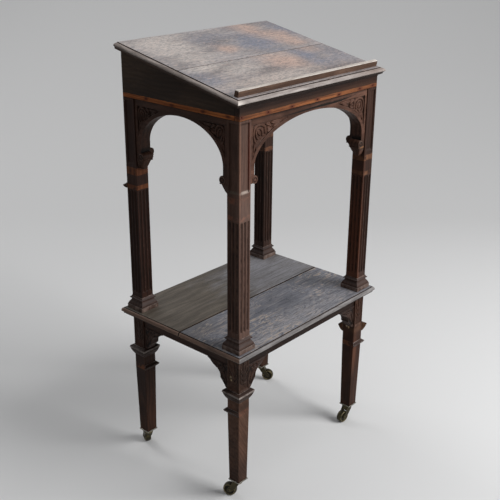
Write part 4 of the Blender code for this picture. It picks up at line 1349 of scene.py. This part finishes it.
def arch_outline(half):
    """Half of an apron from the crown of its arch to the foot of its roll, as points across and up."""
    points = []
    for step in range(37):
        turn = QUARTER * (1 - step / 36)
        points.append(((half - ARCH_REVEAL) * math.cos(turn), ARCH_SPRING + ARCH_RISE * math.sin(turn)))
    start = math.acos((ROLL_OUT - ROLL_RADIUS) / ROLL_RADIUS)
    points += arc(roll_centre(half), ROLL_RADIUS, start, math.radians(225), 18)
    return points + [(half, points[-1][1])]


def two_sided(start, corner, end, count):
    """A line of evenly spread points from start round a corner to end."""
    first = math.dist(start, corner)
    split = round(count * first / (first + math.dist(corner, end)))
    line = []
    for (x0, z0), (x1, z1), run, steps in ((start, corner, range(split), split),
                                           (corner, end, range(count - split), count - 1 - split)):
        line += [(x0 + (x1 - x0) * step / steps, z0 + (z1 - z0) * step / steps) for step in run]
    return line


def spandrel_patch(half):
    """The field of a sunk spandrel, from the archivolt to the post and the top margin."""
    across = half - ARCH_REVEAL + ARCHIVOLT
    rise = ARCH_RISE + ARCHIVOLT
    side = half - SPANDREL_MARGIN
    start = math.acos(side / across) + 0.012
    end = math.asin((SPANDREL_UPPER - SPANDREL_TIP - ARCH_SPRING) / rise)
    turns = np.linspace(start, end, 4 * SPANDREL_COLUMNS)
    near = np.stack([across * np.cos(turns), ARCH_SPRING + rise * np.sin(turns)], axis=1)
    near = resampled(near, SPANDREL_COLUMNS)
    low = (side, near[0][1] + 0.003)
    tip = (near[-1][0], SPANDREL_UPPER)
    return Patch(near, two_sided(low, (side, SPANDREL_UPPER), tip, SPANDREL_COLUMNS))


def spandrel_strokes(half, patch):
    """Foliage: an eye wrapped by two bands, tongues into the lower tip, and curled leaves along the top."""
    side = half - SPANDREL_MARGIN
    narrow = (side - patch.second[-1][0]) / SPANDREL_WIDE
    thin = 0.4 + 0.6 * narrow

    def places(pairs):
        return [(side - across * narrow / 1000, SPANDREL_UPPER - down * SPANDREL_SQUASH / 1000)
                for across, down in pairs]

    strokes = [stem(smoothed(places(pairs)), width * thin, SPANDREL_CREST) for pairs, width in FOLIAGE_BANDS]
    return strokes + [leaf(bent(*places(pairs)), width * thin, SPANDREL_CREST, SPANDREL_VEIN)
                      for pairs, width in FOLIAGE_LEAVES]


def cup_shells(outer, inner, level):
    """A corbel's cup under the roll, narrowing both ways, and a fillet round its head."""
    middle = ARCH_FRONT + ARCH_THICKNESS / 2
    foot = outer - math.copysign(CUP_FOOT, outer)
    pinch = 1 - (CUP_FOOT_WIDTH / ARCH_THICKNESS) ** 2
    rings = []
    for step in range(13):
        share = step / 12
        span = inner + (foot - inner) * (0.65 * share + 0.35 * math.sin(QUARTER * share)) - outer
        deep = ARCH_THICKNESS / 2 * math.sqrt(1 - pinch * share * share) - CUP_SETBACK
        corner = CUP_CORNER * deep
        height = level - CUP_HEIGHT * share
        ring = []
        for side in (-1, 1):
            for turn in even(0, QUARTER, 5) + [QUARTER]:
                bend = turn if side < 0 else QUARTER - turn
                back = math.copysign(corner * (1 - math.sin(bend)), span) * 0.7
                aside = side * (deep - corner * (1 - math.cos(bend)))
                ring.append((outer + span - back, middle + aside, height))
        rings.append(ring + [(outer, middle + deep, height), (outer, middle - deep, height)])
    proud = ARCH_THICKNESS / 2 + CUP_LIP_PROUD
    end = inner + math.copysign(CUP_LIP, inner - outer)
    fillet = block((outer, end), (middle - proud, middle + proud), [level + rise for rise in CUP_LIP_LEVELS])
    return loft(rings), soften(fillet, 0.0014)


def roll_eye(centre, radius):
    """The turned end of a roll: a ring round a small boss, on the apron's front."""
    rings = []
    for share, out in EYE_PROFILE:
        circle = arc(centre, radius * share, 0, 2 * math.pi, 24)[:-1]
        rings.append([(x, ARCH_FRONT - EYE_HEIGHT * out, z) for x, z in circle])
    return loft(rings)


def arch(side, span, move):
    """An arched apron with carved spandrels, and a roll and a cup at each springing."""
    half = span - POST_HALF - SEAT
    back = ARCH_FRONT + ARCH_THICKNESS
    right = arch_outline(half)
    outline = [(-half, POST_LENGTH), (half, POST_LENGTH)] + right[::-1] + [(-x, z) for x, z in right[1:]]
    patch = spandrel_patch(half)
    grid = patch.grid(SPANDREL_ROWS)
    rows, columns = grid.shape[:2]
    height = carved(grid[..., 0], grid[..., 1], spandrel_strokes(half, patch))
    height[[0, -1], :] = 0
    height[:, [0, -1]] = 0
    border = rim_of(rows, columns)
    rise = np.minimum((1 - patch.shares) / SPANDREL_FADE, 1)
    wears = np.clip(height / SPANDREL_CREST - 0.5 * rise, -0.5, 0.3)
    points = []
    levels = {}
    loops = [layer(points, inset(outline, inner), ARCH_FRONT + depth) for inner, depth in EASING]
    loops += [layer(points, inset(outline, inner), back - depth) for inner, depth in reversed(EASING)]
    brow = inset(outline, EASING[0][0])
    faces = skirts(loops) + fill([brow], loops[-1])
    lines = [brow]
    ground = loops[0]
    for way in (1, -1):
        field = grid * (way, 1)
        rim = [field[row, column] for row, column in border]
        hoops = [layer(points, inset(rim, -inner), ARCH_FRONT + depth) for inner, depth in EASING]
        lines.append(inset(rim, -EASING[0][0]))
        ground = ground + hoops[0]
        bed = [noise.noise(Vector((x * 160, z * 160, half))) * 0.0004 for x, z in field.reshape(-1, 2)]
        deep = SPANDREL_DEPTH - RIM - height + np.reshape(bed, height.shape)
        first = lay_field(points, levels, field, ARCH_FRONT + RIM + deep * rise, wears)
        hoops.append([first + row * columns + column for row, column in border])
        faces += skirts(hoops) + grid_faces(first, rows, columns)
    made = shape(points, faces + fill(lines, ground))
    made.verts.index_update()
    roll = roll_centre(half)
    foot = right[-2]
    for way in (1, -1):
        merge(made, roll_eye((way * roll[0], roll[1]), ROLL_RADIUS * EYE_SHARE))
        if way > 0 or side != "front":
            for shell in cup_shells(way * half, way * foot[0], foot[1]):
                merge(made, shell)
    finish = "apron" if side == "front" else "apron_side"
    piece("apron_" + side, made, finish, "arch_" + side, move=move, relief=levels)


def make_arches():
    """Aprons between the posts, each facing outwards; the front one has lost its left cup."""
    for side, (span, x, y, quarter) in SIDES.items():
        arch(side, span, turned(quarter, x, y, POST_Z))


# Legs, collars, bands and brackets

LEG_LENGTH = 0.399
LEG_FOOT = 0.01775
COLLAR_DROP = 0.1055
COLLAR_Z = SHELF_Z - COLLAR_DROP - COLLAR_HEIGHT
BAND_Z = COLLAR_Z - 0.028 - BAND_HEIGHT
POST_BAND_Z = POST_Z + 0.3655
SHOULDER = BAND_Z - LEG_Z
CARVED_LOW = SHELF_Z - COLLAR_DROP - LEG_Z + 0.003
CARVED_HIGH = LEG_LENGTH - 0.004
CARVED_MARGIN = 0.0032
CARVED_SPLAY = 0.0016
CARVED_EASE = 0.002
CARVED_DEPTH = 0.0019
RAIL_HEIGHT = 0.0345
RAIL_SETBACK = 0.0045
RAIL_DEPTH = 0.024
RAIL_ROUND = 0.0009
BRACKET_REACH = 0.077
BRACKET_THICKNESS = 0.028
BRACKET_FRONT = 0.003 - POST_HALF
BRACKET_INNER = POST_HALF + SEAT
BRACKET_TOP = -RAIL_HEIGHT - 2 * SEAT
BRACKET_CUSPS = ((0.83, 0.11, -0.0016), (0.53, 0.31, 0.0042), (0.375, 0.66, 0.0010), (0.12, 1.0, 0.0))
BRACKET_ROWS = 26
BRACKET_ROUND = 0.0008
SCROLL_DEPTH = 0.0024
SCROLL_HEART = 0.47
# Leaves of a bracket's scroll: places along and across its field, width and crest
SCROLL_LEAVES = (
    (((0.50, 0.20), (0.68, 0.45), (0.90, 0.50)), 0.0055, 0.0024),
    (((0.62, 0.60), (0.74, 0.85), (0.88, 0.80)), 0.0042, 0.0022),
    (((0.40, 0.30), (0.25, 0.45), (0.08, 0.55)), 0.0046, 0.0024),
    (((0.40, 0.75), (0.30, 0.80), (0.20, 0.85)), 0.0036, 0.0022),
    (((0.50, 0.70), (0.52, 0.85), (0.55, 0.95)), 0.0042, 0.0022),
)


def leg_carving():
    """An upright spray of leaves on the block of a leg, as places across and up from its middle."""
    strokes = [leaf(bent((0, -0.030), (0.001, 0.0), (0, 0.034)), 0.0052, 0.0020)]
    for side in (-1, 1):
        for low, out, rise in ((-0.026, 0.013, 0.016), (-0.012, 0.014, 0.020), (0.004, 0.012, 0.020)):
            spine = bent((0, low), (side * out * 0.9, low + 0.002), (side * out, low + rise))
            strokes.append(leaf(spine, 0.0040, 0.0018))
    return strokes


def leg_column():
    """What a leg is made from: its levels, its half width, how deep it is cut and where its points lie."""
    tall = even(CARVED_LOW, CARVED_HIGH, 64) + [CARVED_HIGH]
    levels = [0, 0.0012] + even(0.01, SHOULDER, 12) + [SHOULDER, SHOULDER + 0.03] + tall + [LEG_LENGTH]
    spread = np.linspace(-1, 1, 27)
    places = spread * (POST_HALF - CARVED_MARGIN)
    field = carved(*np.meshgrid(places, np.array(tall) - (CARVED_LOW + CARVED_HIGH) / 2), leg_carving())

    def half_at(level):
        return LEG_FOOT + (POST_HALF - LEG_FOOT) * min(level / SHOULDER, 1)

    def offsets(face, level, half):
        return [-half + ROUND] + [float(share) * (half - CARVED_MARGIN) for share in spread] + [half - ROUND]

    def cut_in(face, along, level):
        if face not in OUTER_FACES or not CARVED_LOW < level < CARVED_HIGH:
            return 0.0
        row = min(range(len(tall)), key=lambda index: abs(tall[index] - level))
        column = min(range(len(places)), key=lambda index: abs(places[index] - along))
        border = min(1.0, (POST_HALF - CARVED_MARGIN - abs(along)) / CARVED_SPLAY,
                     (level - CARVED_LOW) / CARVED_EASE, (CARVED_HIGH - level) / CARVED_EASE)
        return max(border, 0.0) * (CARVED_DEPTH - float(field[row, column]))

    return levels, half_at, cut_in, offsets


def make_legs():
    """Tapered legs, carved on the outer faces of their blocks, with what is left of the collars and bands."""
    leg = leg_column()
    ends = [("mitre", lambda face: len(face.verts) > 4)]
    for corner, (_, _, quarter) in CORNERS.items():
        grain = "leaning_leg" if corner == "front_left" else "leg"
        piece("tapered_leg_" + corner, square_column(*leg), grain, "leg_" + corner,
              move=at_corner(corner, LEG_Z, quarter))
        if corner == "front_right":
            collar = run_along(collar_profile(), POST_HALF, [(-1, 1), (1, 1), (1, -1)])
        else:
            collar = run_round(collar_profile(), POST_HALF)
        piece("collar_" + corner, roughen(collar, *MOULDING_WANDER), "collar", "leg_collar_" + corner,
              trims=ends, move=at_corner(corner, COLLAR_Z))
        if corner == "rear_right":
            band = run_round(band_profile(), POST_HALF)
        else:
            band = run_along(band_profile(), POST_HALF, [(1, 1), (-1, 1), (-1, -1)])
        half_turn = 0 if corner in ("front_left", "rear_right") else 2
        piece("band_" + corner, roughen(band, *MOULDING_WANDER), "collar", "leg_band_" + corner, trims=ends,
              move=at_corner(corner, BAND_Z, half_turn))
    rest = run_along(band_profile(), POST_HALF, [(-1, 1), (1, 1)])
    piece("post_band", roughen(rest, *MOULDING_WANDER), "moulding", "post_band_rear_left",
          move=at_corner("rear_left", POST_BAND_Z))


def bracket_edge(steps):
    """The cusped lower edge of a bracket from toe to foot."""
    foot = SEAT - COLLAR_DROP
    point = (POST_HALF + BRACKET_REACH, BRACKET_TOP - 0.0015)
    hollow = 0.0016
    edge = []
    for reach, drop, onward in BRACKET_CUSPS:
        cusp = (POST_HALF + BRACKET_REACH * reach, BRACKET_TOP + (foot - BRACKET_TOP) * drop)
        edge += bowed(point, cusp, hollow, steps)
        point = cusp
        hollow = onward
    return edge + [point]


def bracket(name, node, move, mirror):
    """A cusped bracket with a carved scroll on its face."""
    edge = bracket_edge(12)
    corner = (BRACKET_INNER, BRACKET_TOP)
    patch = Patch(edge, two_sided((edge[0][0], BRACKET_TOP), corner, (BRACKET_INNER, edge[-1][1]), len(edge)))
    grid = patch.grid(BRACKET_ROWS)
    rows, columns = grid.shape[:2]
    size = 0.34 * patch.width(SCROLL_HEART)
    spiral = curl(patch.at(SCROLL_HEART, 0.46), size, math.radians(200), 1.35)
    strokes = [stem(spiral, 0.0034, SCROLL_DEPTH)]
    for places, width, crest in SCROLL_LEAVES:
        strokes.append(leaf(bent(*[patch.at(*place) for place in places]), width, crest))
    height = carved(grid[..., 0], grid[..., 1], strokes) - SCROLL_DEPTH
    lip, side = [np.minimum(np.arange(count), np.arange(count)[::-1]) for count in (rows, columns)]
    height *= np.clip((np.minimum(lip[:, None], side[None]) - 1) / 2, 0, 1)
    flip = -1 if mirror else 1
    points = []
    levels = {}
    wears = np.clip(height / SCROLL_DEPTH * 1.1 + 0.35, -0.7, 0.3)
    lay_field(points, levels, grid * (flip, 1), BRACKET_FRONT - height, wears)
    rim = rim_of(rows, columns)
    line = [grid[row, column] for row, column in rim]
    loops = [[row * columns + column for row, column in rim]]
    for depth in (BRACKET_ROUND, BRACKET_THICKNESS):
        loops.append(layer(points, [(flip * x, z) for x, z in line], BRACKET_FRONT + depth))
    levels.update(dict.fromkeys(loops[-1], 0.0))
    made = shape(points, grid_faces(0, rows, columns) + skirts(loops) + fill([line], loops[-1]))
    piece(name, made, "moulding", node, move=move, relief=levels)


def make_brackets():
    """Two brackets at each leg: seen from outside, one goes to the right and one to the left."""
    for corner, (_, _, quarter) in CORNERS.items():
        for way, turn in (("right", quarter), ("left", quarter - 1)):
            bracket("scroll_%s_%s" % (corner, way), "bracket_%s_%s" % (corner, way),
                    at_corner(corner, SHELF_Z, turn), way == "left")


def make_rails():
    """Plain rails between the legs, close under the shelf."""
    near = RAIL_SETBACK - POST_HALF
    far = near + RAIL_DEPTH
    low = -RAIL_HEIGHT - SEAT
    outline = [(near, low), (far, low), (far, -SEAT), (near, -SEAT)]
    for side, (span, x, y, quarter) in SIDES.items():
        half = span - POST_HALF - SEAT
        rail = eased(drawn_along(outline, (-half, half)), RAIL_ROUND)
        piece("rail_" + side, rail, "rail" if span == POST_X else "rail_side", "shelf_rail_" + side,
              move=turned(quarter, x, y, SHELF_Z))


# Casters

CASTER_HEIGHT = 0.058
PLATE_HALF = 0.01975
PLATE_THICKNESS = 0.0035
BRASS_ROUND = 0.0009
PINTLE_RADIUS = 0.004
BOSS_RADIUS = 0.0115
BOSS_HEIGHT = 0.012
TRAIL = 0.024
EYE_RADIUS = 0.0065
WHEEL_RADIUS = 0.020
WHEEL_HALF = 0.0085
WHEEL_ROOM = WHEEL_RADIUS + 0.0025
AXLE_RADIUS = 0.0025
CHEEK_INNER = WHEEL_HALF + 0.0008
CHEEK_OUTER = CHEEK_INNER + 0.003
HORN_TOP = CASTER_HEIGHT - 0.0004
HORN_BOTTOM = CASTER_HEIGHT - BOSS_HEIGHT
FORK_IN = 0.0015
CASTER_TURNS = {"front_left": 112, "front_right": 174, "rear_right": -52, "rear_left": 62}


def lathe(profile, place, steps=48, closed=False):
    """A turned shape from radius and depth pairs, put in space by a function."""
    rings = []
    for radius, depth in profile:
        rings.append([place(x, y, depth) for x, y in arc((0, 0), radius, 0, 2 * math.pi, steps)[:-1]])
    return loft(rings, closed_along=closed)


def upright(a, b, depth):
    """Round section across X and Y, depth along Z."""
    return (a, b, depth)


def at_axle(a, b, depth):
    """Round section in the plane of the wheel about its axle, depth across the wheel."""
    return (TRAIL + a, depth, WHEEL_RADIUS + b)


def make_wheel():
    """A crowned wheel with dished sides round a hub, bored for its axle."""
    rim = WHEEL_RADIUS - 0.0014
    face = WHEEL_HALF - 0.0025
    side = [(AXLE_RADIUS + 0.0003, WHEEL_HALF), (0.0056, WHEEL_HALF), (0.0062, WHEEL_HALF - 0.0006),
            (0.0066, face + 0.0006), (0.0074, face), (rim - 0.0056, face), (rim - 0.0047, face + 0.0007),
            (rim - 0.0043, WHEEL_HALF - 0.0006), (rim - 0.0036, WHEEL_HALF), (rim - 0.0010, WHEEL_HALF),
            (rim - 0.0002, WHEEL_HALF - 0.0007), (rim + 0.0007, 0.0058), (WHEEL_RADIUS - 0.0002, 0.0036),
            (WHEEL_RADIUS, 0.0014)]
    return lathe(side + [(radius, -depth) for radius, depth in reversed(side)], at_axle, closed=True)


def make_horn():
    """A forked horn: a round boss on the pintle, and two cheeks that run down to the riveted axle pin."""
    rear = -BOSS_RADIUS / 2
    eye = arc((TRAIL, WHEEL_RADIUS), EYE_RADIUS, math.radians(-140), math.radians(40), 24)
    shoulder = (BOSS_RADIUS, HORN_TOP - FORK_IN)
    back = bowed((rear, HORN_BOTTOM + FORK_IN), eye[0], 0.0018, 10)
    fore = bowed(eye[-1], shoulder, -0.0022, 10)
    outline = back + eye + fore[1:] + [shoulder, (rear, HORN_TOP - FORK_IN)]
    fork = loft([[(t, w, z) for t, z in outline] for w in (-CHEEK_OUTER, CHEEK_OUTER)])
    slot = lathe([(WHEEL_ROOM, -CHEEK_INNER), (WHEEL_ROOM, CHEEK_INNER)], at_axle)
    made = cut(soften(fork, BRASS_ROUND), [slot])
    bore = PINTLE_RADIUS + 0.0004
    groove = BOSS_RADIUS - 0.0012
    boss = [(bore, HORN_BOTTOM), (BOSS_RADIUS - 0.001, HORN_BOTTOM), (BOSS_RADIUS, HORN_BOTTOM + 0.001),
            (BOSS_RADIUS, HORN_TOP - 0.0035), (groove, HORN_TOP - 0.0028), (groove, HORN_TOP - 0.0020),
            (BOSS_RADIUS, HORN_TOP - 0.0014), (BOSS_RADIUS - 0.0006, HORN_TOP), (bore, HORN_TOP)]
    merge(made, lathe(boss, upright, closed=True))
    end = CHEEK_OUTER + 0.0014
    under = CHEEK_OUTER - 0.0004
    head = [(0.0008, end), (0.0024, end - 0.0002), (0.0037, end - 0.0008), (0.0042, under)]
    pin = [(radius, -depth) for radius, depth in head] + [(AXLE_RADIUS, -under), (AXLE_RADIUS, under)]
    merge(made, lathe(pin + head[::-1], at_axle, 32))
    return made


def make_plate():
    """A square plate with its pintle."""
    ends = (-PLATE_HALF, PLATE_HALF)
    plate = eased(block(ends, ends, (CASTER_HEIGHT, CASTER_HEIGHT + PLATE_THICKNESS)), BRASS_ROUND)
    tip = HORN_BOTTOM - 0.0004
    pintle = [(PINTLE_RADIUS, CASTER_HEIGHT + 0.0005), (PINTLE_RADIUS, tip + 0.0006),
              (PINTLE_RADIUS - 0.0006, tip)]
    merge(plate, lathe(pintle, upright, 32))
    return plate


def make_casters():
    """A caster under each leg: the plate is fixed, the horn swivels, the wheel turns in the horn."""
    for corner, degrees in CASTER_TURNS.items():
        place = at_corner(corner, 0)
        spin = place @ Matrix.Rotation(math.radians(degrees), 4, "Z")
        piece("plate_" + corner, make_plate(), "plate", "caster_plate_" + corner, move=place)
        piece("horn_" + corner, make_horn(), "brass", "caster_horn_" + corner, "caster_" + corner, spin)
        piece("wheel_turned_" + corner, make_wheel(), "brass", "caster_wheel_" + corner, "wheel_" + corner,
              spin)


# Stage, light and camera

CAMERA_YAW = math.radians(48.67)
CAMERA_PITCH = math.radians(-22.20)
CAMERA_ROLL = math.radians(0.466)
CAMERA_PLACE = (-1.7628, -1.5414, 1.5857)
CAMERA_LENS = 61.71
CAMERA_SENSOR = 36
STAGE_ROWS = 29


def make_camera():
    """The camera at the height and angle from which the desk was seen."""
    data = bpy.data.cameras.new("camera")
    data.sensor_width = CAMERA_SENSOR
    data.lens = CAMERA_LENS
    camera = show("camera", data)
    aimed = Matrix.Rotation(-CAMERA_YAW, 4, "Z") @ Matrix.Rotation(QUARTER + CAMERA_PITCH, 4, "X")
    camera.matrix_world = Matrix.Translation(CAMERA_PLACE) @ aimed @ Matrix.Rotation(CAMERA_ROLL, 4, "Z")
    bpy.context.scene.camera = camera


def seen_share(tree):
    """1 where a surface is seen, straight, mirrored or through glass; 0 where it only lights other things."""
    path = add(tree, "LightPath").outputs
    mirrored = sums(tree, "MAXIMUM", path["Is Camera Ray"], path["Is Glossy Ray"])
    return sums(tree, "MAXIMUM", mirrored, path["Is Transmission Ray"])


def stage_finish():
    """A plain finish that looks pale but throws little light back under the desk."""
    material, tree, shader = new_finish("pale_floor")
    shades = {0: seen_share(tree), 6: (0.17, 0.16, 0.15, 1), 7: (0.70, 0.70, 0.70, 1)}
    tree.links.new(add(tree, "Mix", shades, data_type="RGBA").outputs[2], shader.inputs["Base Color"])
    shader.inputs["Roughness"].default_value = 0.95
    return material


def make_stage():
    """A pale floor that curves up into a backdrop behind the desk."""
    ahead = Vector((math.sin(CAMERA_YAW), math.cos(CAMERA_YAW), 0))
    aside = Vector((ahead.y, -ahead.x, 0))
    bend = arc((2.0, 2.6), 2.6, -QUARTER, 0, 60)
    line = [(far, 0.0) for far in even(-6.0, 2.0, 40)] + bend + [(4.6, up) for up in even(2.8, 6.0, 8)]
    points = [tuple(aside * wide + ahead * far + Vector((0, 0, up)))
              for wide in even(-7, 7.5, STAGE_ROWS) for far, up in line]
    mesh = mesh_of("floor", shape(points, ring_faces(STAGE_ROWS, len(line), False)))
    mesh.shade_smooth()
    mesh.materials.append(stage_finish())
    floor = show("floor", mesh)


def lamp(name, place, target, size, power):
    """A soft square lamp that faces a point."""
    light = bpy.data.lights.new(name, "AREA")
    light.shape = "SQUARE"
    light.size = size
    light.energy = power
    shown = show(name, light)
    shown.location = place
    shown.rotation_euler = (Vector(target) - Vector(place)).to_track_quat("-Z", "Y").to_euler()


def make_light():
    """Soft light: a large lamp from the front right, weak ones overhead and behind, and a pale surround."""
    lamp("key", (1.3, -3.0, 2.6), (0, 0, 0.8), 2.2, 158)
    lamp("overhead", (0.5, 0.2, 3.9), (0, 0, 1.0), 2.4, 25)
    lamp("rear", (0.0, 3.8, 3.0), (0, 0, 0.9), 1.8, 45)
    world = bpy.data.worlds.new("surround")
    world.use_nodes = True
    tree = world.node_tree
    surround = tree.nodes["Background"]
    surround.inputs["Color"].default_value = (0.95, 0.97, 1.0, 1)
    tree.links.new(ramp(tree, seen_share(tree), 0.0, 1.0, 0.20, 0.55), surround.inputs["Strength"])
    bpy.context.scene.world = world
    bpy.context.scene.view_settings.view_transform = "Standard"


make_camera()
make_stage()
make_light()
make_slope()
make_case()
make_shelf()
make_posts()
make_arches()
make_legs()
make_brackets()
make_rails()
make_casters()
